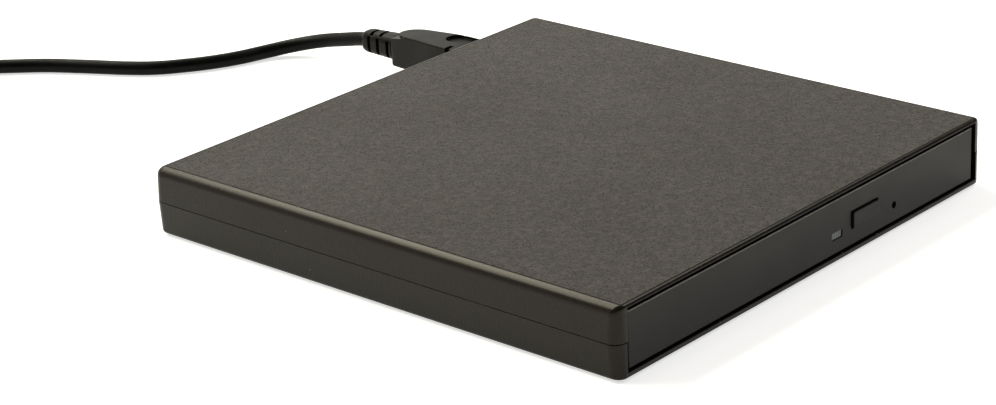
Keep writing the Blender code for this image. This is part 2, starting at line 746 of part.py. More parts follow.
# The bezel's opening, a little wider than the bezel by a room on each side.
def bay_cut(name, low, high, left_room, right_room):
    return box(
        name,
        (-BAY_HALF_WIDTH - left_room, FRONT_Y - OVERRUN, low),
        (BAY_HALF_WIDTH + right_room, FRONT_Y + FRONT_FRAME_DEPTH + OVERRUN, high),
    )


def port_window(name):
    half_x = PORT_WIDTH / 2 + PORT_WINDOW_MARGIN
    half_z = PORT_HEIGHT / 2 + PORT_WINDOW_MARGIN
    return box(
        name,
        (PORT_X - half_x, INNER_BACK_Y - OVERRUN, PORT_Z - half_z),
        (PORT_X + half_x, BACK_Y + OVERRUN, PORT_Z + half_z),
    )


def top_cover(finish):
    edge = SEAM_Z + SEAM_GAP / 2
    levels = [(0, 0, edge), (CASE_TOP_DRAFT, 0, CASE_TOP_Z - CASE_TOP_FILLET)]
    levels += fillet_levels(CASE_TOP_FILLET, CASE_FRONT_TOP_FILLET, CASE_TOP_DRAFT, CASE_TOP_Z, 1)
    cover = add("top_cover", loft_mesh("top_cover", case_rings(levels)), finish)
    cut(cover, cavity("top_cavity", edge - OVERRUN, CEILING_Z))
    cut(cover, bay_cut("top_bay", edge - OVERRUN, CEILING_Z + BAY_CEILING_RISE, 0, BAY_TOP_RIGHT_ROOM))
    for number, (x, y) in enumerate(boss_places(), 1):
        boss = rod(f"top_boss_{number}", BOSS_RADIUS, (x, y, 0), edge, CEILING_Z + CASE_SKIN / 2)
        pilot = rod(
            f"top_pilot_{number}",
            SCREW_SHANK_RADIUS + GAP,
            (x, y, 0),
            edge - OVERRUN,
            CASE_BASE_Z + SCREW_SINK + SCREW_LENGTH + GAP,
        )
        join(cover, boss)
        cut(cover, pilot)
    for number, (x, y) in enumerate(board_post_places(), 1):
        post = rod(
            f"top_post_{number}",
            BOARD_POST_RADIUS,
            (x, y, 0),
            BRIDGE_TOP_Z + GAP,
            CEILING_Z + CASE_SKIN / 2,
        )
        join(cover, post)
    for number, sign in enumerate((-1, 1), 1):
        join(cover, drive_rib(f"top_rib_{number}", sign, DRIVE_TOP_Z + GAP, CEILING_Z + CASE_SKIN / 2))
    return cut(cover, port_window("top_port_window"))


def bottom_cover(finish):
    edge = SEAM_Z - SEAM_GAP / 2
    levels = [(0, 0, edge), (CASE_BOTTOM_DRAFT, 0, CASE_BASE_Z + CASE_BOTTOM_FILLET)]
    levels += fillet_levels(
        CASE_BOTTOM_FILLET, CASE_FRONT_BOTTOM_FILLET, CASE_BOTTOM_DRAFT, CASE_BASE_Z, -1
    )
    cover = add("bottom_cover", loft_mesh("bottom_cover", case_rings(levels)), finish)
    cut(cover, cavity("bottom_cavity", FLOOR_Z, edge + OVERRUN))
    bay_floor = FLOOR_Z - BAY_FLOOR_SINK
    cut(
        cover,
        bay_cut("bottom_bay", bay_floor, edge + OVERRUN, BAY_BOTTOM_LEFT_ROOM, BAY_BOTTOM_RIGHT_ROOM),
    )
    head_top = CASE_BASE_Z + SCREW_SINK + SCREW_HEAD_HEIGHT + GAP
    for number, (x, y) in enumerate(boss_places(), 1):
        join(cover, rod(f"bottom_boss_{number}", BOSS_RADIUS, (x, y, 0), CASE_BASE_Z + CASE_SKIN / 2, edge))
        cut(
            cover,
            rod(
                f"screw_hole_{number}",
                SCREW_SHANK_RADIUS + GAP,
                (x, y, 0),
                CASE_BASE_Z - OVERRUN,
                edge + OVERRUN,
            ),
            rod(
                f"screw_counterbore_{number}",
                SCREW_HEAD_RADIUS + GAP,
                (x, y, 0),
                CASE_BASE_Z - OVERRUN,
                head_top,
            ),
        )
    for number, (x, y) in enumerate(foot_places(), 1):
        seat = rod(
            f"foot_seat_{number}",
            FOOT_RADIUS + GAP,
            (x, y, 0),
            CASE_BASE_Z - OVERRUN,
            FOOT_THICKNESS + GAP,
            sides=CIRCLE_SIDES,
        )
        cut(cover, seat)
    for number, (x, y) in enumerate(board_post_places(), 1):
        post = rod(
            f"bottom_post_{number}",
            BOARD_POST_RADIUS,
            (x, y, 0),
            CASE_BASE_Z + CASE_SKIN / 2,
            BRIDGE_Z - GAP,
        )
        join(cover, post)
    for number, sign in enumerate((-1, 1), 1):
        join(cover, drive_rib(f"bottom_rib_{number}", sign, CASE_BASE_Z + CASE_SKIN / 2, DRIVE_Z - GAP))
        join(cover, rear_stop(f"rear_stop_{number}", sign))
    return cut(cover, port_window("bottom_port_window"))


def drive_rib(name, sign, low, high):
    x = sign * RIB_SPACING_X / 2
    front = FRONT_Y + RIB_FRONT_INSET
    back = DRIVE_BACK_Y - RIB_BACK_INSET
    return box(name, (x - RIB_WIDTH / 2, front, low), (x + RIB_WIDTH / 2, back, high))


def rear_stop(name, sign):
    x = sign * STOP_X
    front = DRIVE_BACK_Y + GAP
    return box(
        name,
        (x - STOP_WIDTH / 2, front, CASE_BASE_Z + CASE_SKIN / 2),
        (x + STOP_WIDTH / 2, front + STOP_DEPTH, FLOOR_Z + STOP_HEIGHT),
    )


def feet(finish):
    rim = FOOT_RADIUS - FOOT_BEVEL
    profile = [
        (0, 0),
        (rim, 0),
        (FOOT_RADIUS, FOOT_BEVEL),
        (FOOT_RADIUS, FOOT_THICKNESS),
        (0, FOOT_THICKNESS),
    ]
    mesh = lathe_mesh("rubber_foot", profile)
    for number, (x, y) in enumerate(foot_places(), 1):
        add(f"rubber_foot_{number}", mesh if number == 1 else mesh.copy(), finish, (x, y, 0))


def case_screws(finish):
    foot = CASE_BASE_Z + SCREW_SINK
    tip = SCREW_SHANK_RADIUS / 2
    profile = [
        (0, foot),
        (SCREW_HEAD_RADIUS, foot),
        (SCREW_HEAD_RADIUS, foot + SCREW_HEAD_HEIGHT),
        (SCREW_SHANK_RADIUS, foot + SCREW_HEAD_HEIGHT),
        (SCREW_SHANK_RADIUS, foot + SCREW_LENGTH - tip),
        (0, foot + SCREW_LENGTH),
    ]
    long = SCREW_CROSS_LENGTH / 2
    thin = SCREW_CROSS_WIDTH / 2
    depth = foot + SCREW_CROSS_DEPTH
    for number, (x, y) in enumerate(boss_places(), 1):
        mesh = lathe_mesh(f"case_screw_{number}", profile, SMALL_SIDES)
        screw = add(f"case_screw_{number}", mesh, finish, (x, y, 0))
        slots = (
            box(f"cross_a_{number}", (x - long, y - thin, foot - OVERRUN), (x + long, y + thin, depth)),
            box(f"cross_b_{number}", (x - thin, y - long, foot - OVERRUN), (x + thin, y + long, depth)),
        )
        cut(screw, *slots)


# Drive unit: base, lid, rail guides

def drive_base(finish):
    half = DRIVE_HALF_WIDTH
    base = box(
        "drive_base", (-half, DRIVE_FRONT_Y, DRIVE_Z), (half, DRIVE_BACK_Y, BASE_WALL_Z), finish
    )
    hollow = box(
        "base_hollow",
        (-BASE_INNER_X, DRIVE_FRONT_Y - OVERRUN, BASE_TOP_Z),
        (BASE_INNER_X, DRIVE_BACK_Y - BASE_SHEET, BASE_WALL_Z + OVERRUN),
    )
    half_plug = DRIVE_PLUG_WIDTH / 2 + GAP
    plug_notch = box(
        "plug_notch",
        (DRIVE_PLUG_CENTRE_X - half_plug, DRIVE_BACK_Y - BASE_SHEET - OVERRUN, DRIVE_PLUG_Z - GAP),
        (DRIVE_PLUG_CENTRE_X + half_plug, DRIVE_BACK_Y + OVERRUN, BASE_WALL_Z + OVERRUN),
    )
    post_hole = rod(
        "post_hole",
        LATCH_FOOT_RADIUS + GAP,
        (LATCH_POST_X, latch_post_y(), 0),
        DRIVE_Z - OVERRUN,
        BASE_TOP_Z + OVERRUN,
    )
    return cut(base, hollow, plug_notch, post_hole)


def drive_lid(finish):
    half = DRIVE_HALF_WIDTH
    skirt = BASE_WALL_Z + GAP
    lid = box("drive_lid", (-half, DRIVE_FRONT_Y, skirt), (half, DRIVE_BACK_Y, DRIVE_TOP_Z), finish)
    hollow = box(
        "lid_hollow",
        (-BASE_INNER_X, DRIVE_FRONT_Y - OVERRUN, skirt - OVERRUN),
        (BASE_INNER_X, DRIVE_BACK_Y - BASE_SHEET, LID_UNDER_Z),
    )
    return cut(lid, hollow)


# A thin channel along Y, open towards the middle, as an outline in X and Z.
def channel(name, finish, sign, outer, edge, sheet_web, sheet_flange, half_height, front, back, origin_y=0):
    inner_half = half_height - sheet_flange
    outline = [
        (edge, -half_height),
        (outer, -half_height),
        (outer, half_height),
        (edge, half_height),
        (edge, inner_half),
        (outer - sheet_web, inner_half),
        (outer - sheet_web, -inner_half),
        (edge, -inner_half),
    ]
    rings = [
        [(sign * x, y, z) for x, z in outline] for y in (front - origin_y, back - origin_y)
    ]
    return add(name, loft_mesh(name, rings), finish, (0, origin_y, TONGUE_Z))


def rails(guide_finish, rail_finish):
    for side, sign in (("left", -1), ("right", 1)):
        channel(
            f"rail_guide_{side}",
            guide_finish,
            sign,
            GUIDE_OUTER_X,
            FLANGE_EDGE_X,
            GUIDE_WEB,
            GUIDE_FLANGE,
            GUIDE_HALF_HEIGHT,
            DRIVE_FRONT_Y + GUIDE_FRONT_INSET,
            DRIVE_BACK_Y - GUIDE_BACK_INSET,
        )
        channel(
            f"slide_rail_{side}",
            rail_finish,
            sign,
            RAIL_OUTER_X,
            FLANGE_EDGE_X,
            RAIL_SHEET,
            RAIL_SHEET,
            RAIL_HALF_HEIGHT,
            DRIVE_FRONT_Y + RAIL_FRONT_INSET,
            DRIVE_BACK_Y - RAIL_BACK_INSET,
            DRIVE_FRONT_Y,
        )


# Bezel with its button and light

def front_bezel(finish):
    half = BEZEL_HALF_WIDTH
    bezel = box("front_bezel", (-half, BEZEL_FRONT_Y, BEZEL_Z), (half, BEZEL_BACK_Y, BEZEL_TOP_Z), finish)
    soften(bezel, BEZEL_BEVEL)
    rim = BEZEL_RIM_WIDTH
    back_pocket = box(
        "bezel_pocket",
        (-half + rim, BEZEL_INNER_Y, BEZEL_Z + rim),
        (half - rim, BEZEL_BACK_Y + OVERRUN, BEZEL_TOP_Z - rim),
    )
    button_hole = front_cut(
        "button_hole",
        BUTTON_CENTRE_X,
        BUTTON_Z,
        BUTTON_WIDTH / 2 + BUTTON_CLEARANCE,
        BUTTON_HEIGHT / 2 + BUTTON_CLEARANCE,
    )
    led_hole = front_cut("led_hole", LED_CENTRE_X, LED_Z, LED_WIDTH / 2 + GAP, LED_HEIGHT / 2 + GAP)
    pinhole = along_y(
        rod(
            "pinhole",
            PINHOLE_RADIUS,
            (PINHOLE_X, BEZEL_FRONT_Y, PINHOLE_Z),
            -OVERRUN,
            BEZEL_PLATE + OVERRUN,
        )
    )
    return cut(bezel, back_pocket, button_hole, led_hole, pinhole)


def front_cut(name, x, z, half_x, half_z):
    return box(
        name,
        (x - half_x, BEZEL_FRONT_Y - OVERRUN, z - half_z),
        (x + half_x, BEZEL_INNER_Y + OVERRUN, z + half_z),
    )


# Turns a piece made along +Z so that it runs along +Y.
def along_y(piece):
    piece.rotation_euler = (-math.pi / 2, 0, 0)
    return piece


def eject_button(finish):
    front = BEZEL_FRONT_Y - BUTTON_PROUD
    half_x = BUTTON_WIDTH / 2
    half_z = BUTTON_HEIGHT / 2
    button = box(
        "eject_button",
        (BUTTON_CENTRE_X - half_x, front, BUTTON_Z - half_z),
        (BUTTON_CENTRE_X + half_x, TRAY_FRONT_Y + GAP, BUTTON_Z + half_z),
        finish,
    )
    soften(button, BUTTON_BEVEL)
    reach = half_x + BUTTON_FLANGE_REACH
    flange = box(
        "button_flange",
        (BUTTON_CENTRE_X - reach, TRAY_FRONT_Y, BUTTON_Z - half_z - BUTTON_FLANGE_REACH),
        (BUTTON_CENTRE_X + reach, BUTTON_BACK_Y, BUTTON_Z + half_z),
    )
    stem = box(
        "button_stem",
        (BUTTON_CENTRE_X - BUTTON_STEM_WIDTH / 2, TRAY_FRONT_Y, BUTTON_Z - half_z),
        (
            BUTTON_CENTRE_X + BUTTON_STEM_WIDTH / 2,
            BUTTON_BACK_Y + BUTTON_STEM_LENGTH,
            BUTTON_Z - half_z + BUTTON_STEM_HEIGHT,
        ),
    )
    return join(button, flange, stem)


def led_window(finish):
    front = BEZEL_FRONT_Y + LED_RECESS
    return box(
        "led_window",
        (LED_CENTRE_X - LED_WIDTH / 2, front, LED_Z - LED_HEIGHT / 2),
        (LED_CENTRE_X + LED_WIDTH / 2, front + LED_PIPE_LENGTH, LED_Z + LED_HEIGHT / 2),
        finish,
    )


# Tray

def frame_outline(grow=0):
    reach = FRAME_REACH + grow
    half = FRAME_HALF_WIDTH + grow
    corner = FRAME_CHAMFER + grow * (2 - math.sqrt(2))
    return [
        (-FRAME_BACK - grow, -half),
        (reach - corner, -half),
        (reach, -half + corner),
        (reach, half - corner),
        (reach - corner, half),
        (-FRAME_BACK - grow, half),
    ]


def tab_outline(grow=0):
    half = FRAME_TAB_WIDTH / 2 + grow
    near = FRAME_REACH - FRAME_CHAMFER
    far = FRAME_REACH + FRAME_TAB_REACH + grow
    return [(near, -half), (far, -half), (far, half), (near, half)]


# The cover plate's outline: straight sides, and an arc inside the disc recess.
def cover_outline(grow=0):
    half = FRAME_HALF_WIDTH + FRAME_CLEARANCE + COVER_LEDGE + grow
    back = -FRAME_BACK - FRAME_CLEARANCE - COVER_LEDGE - grow
    radius = COVER_RADIUS + grow
    sweep = math.asin(half / radius)
    outline = [(back, half), (back, -half)]
    for step in range(2 * ROUND_STEPS + 1):
        angle = sweep * (step / ROUND_STEPS - 1)
        outline.append((radius * math.cos(angle), radius * math.sin(angle)))
    return outline


# Places of the rubber dampers, in the mechanism's own directions
def damper_places():
    back = -FRAME_BACK + DAMPER_RADIUS + GAP
    side = FRAME_HALF_WIDTH - DAMPER_RADIUS - GAP
    front = FRAME_REACH + FRAME_TAB_REACH - DAMPER_RADIUS - GAP
    return [(back, side), (back, -side), (front, 0)]


def latch_post_y():
    return DRIVE_FRONT_Y + LATCH_POST_INSET


def disc_tray(finish, origin):
    wing = box(
        "disc_tray",
        (-TRAY_WING_X, TRAY_FRONT_Y, TRAY_WING_Z),
        (TRAY_WING_X, TRAY_BACK_Y, TRAY_TOP_Z),
        finish,
    )
    soften(wing, TRAY_BEVEL)
    body = box(
        "tray_body",
        (-TRAY_BODY_X, TRAY_FRONT_Y, TRAY_Z),
        (TRAY_BODY_X, TRAY_BODY_BACK_Y, TRAY_WING_Z + TRAY_BEVEL * 2),
    )
    tail = box(
        "tray_tail",
        (-TRAY_BODY_X, TRAY_BODY_BACK_Y - OVERRUN, TRAY_CEILING_Z),
        (TRAY_BODY_X, TRAY_BACK_Y - TRAY_BEVEL, TRAY_WING_Z + TRAY_BEVEL * 2),
    )
    tongue = box(
        "tray_tongue",
        (-TONGUE_X, BEZEL_BACK_Y + GAP, TONGUE_Z - TONGUE_HEIGHT / 2),
        (TONGUE_X, TRAY_BODY_BACK_Y, TONGUE_Z + TONGUE_HEIGHT / 2),
    )
    join(wing, body, tail, tongue)
    cut(wing, tray_pocket(origin))
    recess = rod(
        "disc_recess",
        RECESS_RADIUS,
        (0, DISC_Y, 0),
        TRAY_FLOOR_Z,
        TRAY_TOP_Z + OVERRUN,
        sides=RECESS_SIDES,
    )
    cut(wing, recess)
    for number, degrees in enumerate(FINGER_NOTCH_DEGREES, 1):
        angle = math.radians(degrees)
        place = (
            FINGER_NOTCH_REACH * math.cos(angle),
            DISC_Y + FINGER_NOTCH_REACH * math.sin(angle),
            0,
        )
        cut(
            wing,
            rod(
                f"finger_notch_{number}",
                FINGER_NOTCH_RADIUS,
                place,
                TRAY_FLOOR_Z - FINGER_NOTCH_DEPTH,
                TRAY_TOP_Z + OVERRUN,
                sides=CIRCLE_SIDES,
            ),
        )
    well = add(
        "mechanism_well",
        prism_mesh(
            "mechanism_well", frame_outline(FRAME_CLEARANCE), TRAY_Z - OVERRUN, COVER_UNDER_Z - GAP / 2
        ),
        parent=origin,
    )
    tab_well = add(
        "tab_well",
        prism_mesh("tab_well", tab_outline(FRAME_CLEARANCE), TRAY_Z - OVERRUN, TRAY_CEILING_Z),
        parent=origin,
    )
    cover_seat = add(
        "cover_seat",
        prism_mesh("cover_seat", cover_outline(GAP), COVER_UNDER_Z - GAP, TRAY_TOP_Z + OVERRUN),
        parent=origin,
    )
    lens_hood = box(
        "lens_hood",
        (COVER_SLOT_NEAR, -COVER_SLOT_HALF_WIDTH, TRAY_CEILING_Z),
        (COVER_SLOT_FAR, COVER_SLOT_HALF_WIDTH, TRAY_FLOOR_Z + LENS_HOOD_HEIGHT),
        parent=origin,
    )
    cut(wing, well, tab_well, cover_seat, lens_hood)
    return tray_posts(wing, origin)


# The hollow under the tray's floor, which leaves the outer walls and a wall round the mechanism.
def tray_pocket(origin):
    pocket = box(
        "tray_pocket",
        (-TRAY_BODY_X + TRAY_WALL, TRAY_FRONT_Y + TRAY_WALL, TRAY_Z - OVERRUN),
        (TRAY_BODY_X - TRAY_WALL, TRAY_BODY_BACK_Y - TRAY_WALL, TRAY_CEILING_Z),
    )
    wall = FRAME_CLEARANCE + TRAY_WALL
    kept = add(
        "mechanism_wall",
        prism_mesh("mechanism_wall", frame_outline(wall), TRAY_Z - 2 * OVERRUN, TRAY_TOP_Z),
        parent=origin,
    )
    kept_tab = add(
        "tab_wall",
        prism_mesh("tab_wall", tab_outline(wall), TRAY_Z - 2 * OVERRUN, TRAY_TOP_Z),
        parent=origin,
    )
    cut(pocket, kept, kept_tab)
    channel_half = LATCH_CHANNEL_WIDTH / 2
    latch_channel = box(
        "latch_channel",
        (LATCH_POST_X - channel_half, latch_post_y() - LATCH_CHANNEL_WIDTH, TRAY_Z - OVERRUN),
        (LATCH_POST_X + channel_half, TRAY_BODY_BACK_Y + OVERRUN, TRAY_CEILING_Z),
    )
    half_x = BUTTON_WIDTH / 2 + BUTTON_FLANGE_REACH + FRAME_CLEARANCE
    front_notch = box(
        "front_notch",
        (LED_CENTRE_X - LED_WIDTH, TRAY_FRONT_Y - OVERRUN, TRAY_Z + BUTTON_CLEARANCE),
        (BUTTON_CENTRE_X + half_x, TRAY_FRONT_Y + TRAY_WALL + OVERRUN, BUTTON_Z + BUTTON_HEIGHT / 2 + GAP),
    )
    return join(pocket, latch_channel, front_notch)


# Pins that hang from the tray's ceiling: one in each damper, one for the latch, two for the board
def tray_posts(tray, origin):
    high = TRAY_CEILING_Z + TRAY_SKIN / 2
    shelf_low = FRAME_TOP_Z + 2 * GAP + DAMPER_HEAD_HEIGHT
    back = -FRAME_BACK - FRAME_CLEARANCE - TRAY_WALL / 2
    side = FRAME_HALF_WIDTH + FRAME_CLEARANCE + TRAY_WALL / 2
    for number, sign in enumerate((-1, 1), 1):
        shelf = box(
            f"damper_shelf_{number}",
            (back, min(sign * side, sign * (side - DAMPER_SHELF_LENGTH)), shelf_low),
            (
                back + DAMPER_SHELF_LENGTH + TRAY_WALL,
                max(sign * side, sign * (side - DAMPER_SHELF_LENGTH)),
                COVER_UNDER_Z - GAP,
            ),
            parent=origin,
        )
        join(tray, shelf)
    for number, (along, across) in enumerate(damper_places(), 1):
        pin = rod(
            f"damper_pin_{number}",
            DAMPER_PIN_RADIUS,
            (along, across, 0),
            FRAME_Z + GAP,
            high,
            parent=origin,
        )
        join(tray, pin)
    x, y = latch_pivot()
    join(tray, rod("latch_pin", LATCH_PIN_RADIUS, (x, y, 0), TRAY_Z + GAP, high))
    board_top = TRAY_Z + TRAY_BOARD_LIFT + TRAY_BOARD_THICKNESS
    inset = BOARD_POST_RADIUS
    back = TRAY_FRONT_Y + TRAY_BOARD_FRONT_INSET + TRAY_BOARD_DEPTH - inset
    for number, x in enumerate((TRAY_BOARD_LEFT + inset, TRAY_BOARD_RIGHT - inset), 1):
        join(tray, rod(f"board_peg_{number}", DAMPER_NECK_RADIUS, (x, back, 0), board_top + GAP, high))
    return tray


# Mechanism under the disc

def mechanism_cover(finish, origin):
    cover = add(
        "mechanism_cover",
        prism_mesh("mechanism_cover", cover_outline(), COVER_UNDER_Z, COVER_TOP_Z),
        finish,
        parent=origin,
    )
    hub_hole = rod(
        "cover_hub_hole",
        COVER_HUB_RADIUS,
        (0, 0, 0),
        COVER_UNDER_Z - OVERRUN,
        COVER_TOP_Z + OVERRUN,
        sides=CIRCLE_SIDES,
        parent=origin,
    )
    lens_slot = box(
        "cover_lens_slot",
        (0, -COVER_SLOT_HALF_WIDTH, COVER_UNDER_Z - OVERRUN),
        (COVER_SLOT_FAR, COVER_SLOT_HALF_WIDTH, COVER_TOP_Z + OVERRUN),
        parent=origin,
    )
    return cut(cover, hub_hole, lens_slot)


def traverse_frame(finish, origin):
    frame = add(
        "traverse_frame",
        prism_mesh("traverse_frame", frame_outline(), FRAME_Z, FRAME_TOP_Z),
        finish,
        parent=origin,
    )
    tab = add("frame_tab", prism_mesh("frame_tab", tab_outline(), FRAME_Z, FRAME_TOP_Z), parent=origin)
    join(frame, tab)
    block_half = SHAFT_BLOCK_WIDTH / 2
    low = FRAME_Z + FRAME_SHEET / 2
    for number, side in enumerate((-1, 1), 1):
        across = side * GUIDE_SHAFT_SPREAD
        near_block = GUIDE_SHAFT_NEAR - SHAFT_BLOCK_LENGTH / 2
        far_block = GUIDE_SHAFT_FAR - SHAFT_BLOCK_LENGTH / 2
        for end, along in (("near", near_block), ("far", far_block)):
            block = box(
                f"shaft_block_{end}_{number}",
                (along, across - block_half, low),
                (along + SHAFT_BLOCK_LENGTH, across + block_half, FRAME_TOP_Z + SHAFT_BLOCK_HEIGHT),
                parent=origin,
            )
            join(frame, block)
    screw_block = box(
        "screw_block",
        (SCREW_BLOCK_NEAR, LEAD_SCREW_OFFSET - block_half, low),
        (
            SCREW_BLOCK_NEAR + SCREW_BLOCK_LENGTH,
            LEAD_SCREW_OFFSET + block_half,
            FRAME_TOP_Z + SHAFT_BLOCK_HEIGHT,
        ),
        parent=origin,
    )
    join(frame, screw_block)
    side_right = SLED_RIGHT + FRAME_CLEARANCE
    side_left = SLED_LEFT + FRAME_CLEARANCE
    window = box(
        "frame_window",
        (FRAME_WINDOW_NEAR, -side_left, FRAME_Z - OVERRUN),
        (FRAME_WINDOW_FAR, side_right, FRAME_TOP_Z + SHAFT_BLOCK_HEIGHT + OVERRUN),
        parent=origin,
    )
    motor_half = SLED_MOTOR_RADIUS + GAP
    motor_window = box(
        "motor_window",
        (SLED_MOTOR_NEAR - GAP, LEAD_SCREW_OFFSET - motor_half, FRAME_Z - OVERRUN),
        (
            SLED_MOTOR_NEAR + SLED_MOTOR_LENGTH + GAP,
            LEAD_SCREW_OFFSET + motor_half,
            FRAME_TOP_Z + OVERRUN,
        ),
        parent=origin,
    )
    cut(frame, window, motor_window)
    for number, side in enumerate((-1, 1), 1):
        cut(
            frame,
            along_mechanism(
                f"shaft_bore_{number}",
                GUIDE_SHAFT_RADIUS + GAP,
                side * GUIDE_SHAFT_SPREAD,
                GUIDE_SHAFT_NEAR - GAP,
                GUIDE_SHAFT_FAR + GAP,
                origin,
            ),
        )
    cut(
        frame,
        along_mechanism(
            "screw_bore",
            LEAD_SCREW_RADIUS + GAP,
            LEAD_SCREW_OFFSET,
            LEAD_SCREW_NEAR - GAP,
            SCREW_BLOCK_NEAR + SCREW_BLOCK_LENGTH + OVERRUN,
            origin,
        ),
    )
    for number, (along, across) in enumerate(damper_places(), 1):
        hole = rod(
            f"damper_hole_{number}",
            DAMPER_NECK_RADIUS + GAP,
            (along, across, 0),
            FRAME_Z - OVERRUN,
            FRAME_TOP_Z + OVERRUN,
            parent=origin,
        )
        cut(frame, hole)
    return frame


# A rod along the sled's direction, at the height of the guide shafts.
def along_mechanism(name, radius, across, near, far, origin, finish=None, sides=SMALL_SIDES):
    piece = rod(name, radius, (near, across, GUIDE_SHAFT_Z), 0, far - near, finish, sides, origin)
    piece.rotation_euler = (0, math.pi / 2, 0)
    return piece


def guide_shafts(finish, origin):
    for number, side in enumerate((-1, 1), 1):
        along_mechanism(
            f"guide_shaft_{number}",
            GUIDE_SHAFT_RADIUS,
            side * GUIDE_SHAFT_SPREAD,
            GUIDE_SHAFT_NEAR,
            GUIDE_SHAFT_FAR,
            origin,
            finish,
        )


def dampers(finish, origin):
    low = FRAME_Z
    shelf = FRAME_TOP_Z + GAP
    high = shelf + DAMPER_HEAD_HEIGHT
    profile = [
        (DAMPER_BORE_RADIUS, low),
        (DAMPER_NECK_RADIUS, low),
        (DAMPER_NECK_RADIUS, shelf),
        (DAMPER_RADIUS, shelf),
        (DAMPER_RADIUS, high),
        (DAMPER_BORE_RADIUS, high),
    ]
    for number, (along, across) in enumerate(damper_places(), 1):
        mesh = ring_mesh(f"rubber_damper_{number}", profile, SMALL_SIDES)
        add(f"rubber_damper_{number}", mesh, finish, (along, across, 0), origin)


def spindle_motor(base_finish, stator_finish, origin):
    low = FRAME_TOP_Z + GAP
    high = low + MOTOR_BASE_THICKNESS
    bore = SHAFT_RADIUS + GAP
    profile = [
        (bore, low),
        (MOTOR_BASE_RADIUS, low),
        (MOTOR_BASE_RADIUS, high),
        (STATOR_BORE_RADIUS - GAP, high),
        (STATOR_BORE_RADIUS - GAP, high + GAP + STATOR_HEIGHT),
        (bore, high + GAP + STATOR_HEIGHT),
    ]
    add("spindle_motor_base", ring_mesh("spindle_motor_base", profile), base_finish, parent=origin)
    stator_low = high + GAP
    stator_high = stator_low + STATOR_HEIGHT
    stator = add(
        "spindle_stator",
        ring_mesh(
            "spindle_stator",
            [
                (STATOR_BORE_RADIUS, stator_low),
                (STATOR_RADIUS, stator_low),
                (STATOR_RADIUS, stator_high),
                (STATOR_BORE_RADIUS, stator_high),
            ],
        ),
        stator_finish,
        parent=origin,
    )
    for pole in range(STATOR_POLES):
        slot = box(
            f"stator_slot_{pole}",
            (STATOR_CORE_RADIUS, -STATOR_SLOT_WIDTH / 2, stator_low - OVERRUN),
            (STATOR_RADIUS + OVERRUN, STATOR_SLOT_WIDTH / 2, stator_high + OVERRUN),
            parent=origin,
        )
        turn_about_axis(slot, 2 * math.pi * pole / STATOR_POLES)
        cut(stator, slot)


# Swings a piece, placed in the mechanism's directions, about the spindle.
def turn_about_axis(piece, angle):
    place = Matrix.Rotation(angle, 4, "Z") @ Vector(piece.location)
    piece.location = place
    piece.rotation_euler = (0, 0, angle)
    return piece


def turntable_levels():
    bell_low = FRAME_TOP_Z + GAP + MOTOR_BASE_THICKNESS + GAP
    flange_low = TRAY_FLOOR_Z + TURNTABLE_LIFT - GAP / 3
    flange_high = flange_low + TURNTABLE_THICKNESS
    return bell_low, flange_low, flange_high, flange_high + HUB_HEIGHT


def pawl_z():
    return turntable_levels()[3] - PAWL_DROP - PAWL_HEIGHT / 2


def turntable(finish, ring_finish, pawl_finish, origin):
    bell_low, flange_low, flange_high, hub_high = turntable_levels()
    bell_high = bell_low + ROTOR_HEIGHT
    bell_inner = ROTOR_RADIUS - ROTOR_WALL
    groove = flange_high - RING_GROOVE_DEPTH
    profile = [
        (0, FRAME_TOP_Z + GAP),
        (SHAFT_RADIUS, FRAME_TOP_Z + GAP),
        (SHAFT_RADIUS, bell_high - ROTOR_WALL),
        (bell_inner, bell_high - ROTOR_WALL),
        (bell_inner, bell_low),
        (ROTOR_RADIUS, bell_low),
        (ROTOR_RADIUS, bell_high),
        (ROTOR_NECK_RADIUS, bell_high),
        (ROTOR_NECK_RADIUS, flange_low),
        (TURNTABLE_RADIUS, flange_low),
        (TURNTABLE_RADIUS, flange_high),
        (RING_OUTER_RADIUS + GAP, flange_high),
        (RING_OUTER_RADIUS + GAP, groove),
        (RING_INNER_RADIUS - GAP, groove),
        (RING_INNER_RADIUS - GAP, flange_high),
        (HUB_RADIUS, flange_high),
        (HUB_RADIUS, hub_high - HUB_CHAMFER / 2),
        (HUB_RADIUS - HUB_CHAMFER, hub_high),
        (0, hub_high),
    ]
    table_mesh = lathe_mesh("spindle_turntable", profile, RECESS_SIDES // 2)
    table = add("spindle_turntable", table_mesh, finish, parent=origin)
    ring_low = groove + GAP
    ring_profile = [
        (RING_INNER_RADIUS, ring_low),
        (RING_OUTER_RADIUS, ring_low),
        (RING_OUTER_RADIUS, ring_low + RING_THICKNESS),
        (RING_INNER_RADIUS, ring_low + RING_THICKNESS),
    ]
    band = ring_mesh("turntable_ring", ring_profile, RECESS_SIDES // 2)
    add("turntable_ring", band, ring_finish, parent=origin)
    half = PAWL_WIDTH / 2
    half_high = PAWL_HEIGHT / 2
    for number in range(1, PAWL_COUNT + 1):
        angle = 2 * math.pi * (number - 1) / PAWL_COUNT
        slot = box(
            f"pawl_slot_{number}",
            (PAWL_INNER_RADIUS - PAWL_TRAVEL - GAP, -half - GAP, pawl_z() - half_high - GAP),
            (PAWL_OUTER_RADIUS + OVERRUN, half + GAP, pawl_z() + half_high + GAP),
            parent=origin,
        )
        turn_about_axis(slot, angle)
        cut(table, slot)
        pawl = box(
            f"chuck_pawl_{number}",
            (PAWL_INNER_RADIUS, -half, pawl_z() - half_high),
            (PAWL_OUTER_RADIUS, half, pawl_z() + half_high),
            pawl_finish,
            origin,
        )
        turn_about_axis(pawl, angle)


def sled_levels():
    low = FRAME_Z + SLED_DEPTH
    return low, low + SLED_HEIGHT


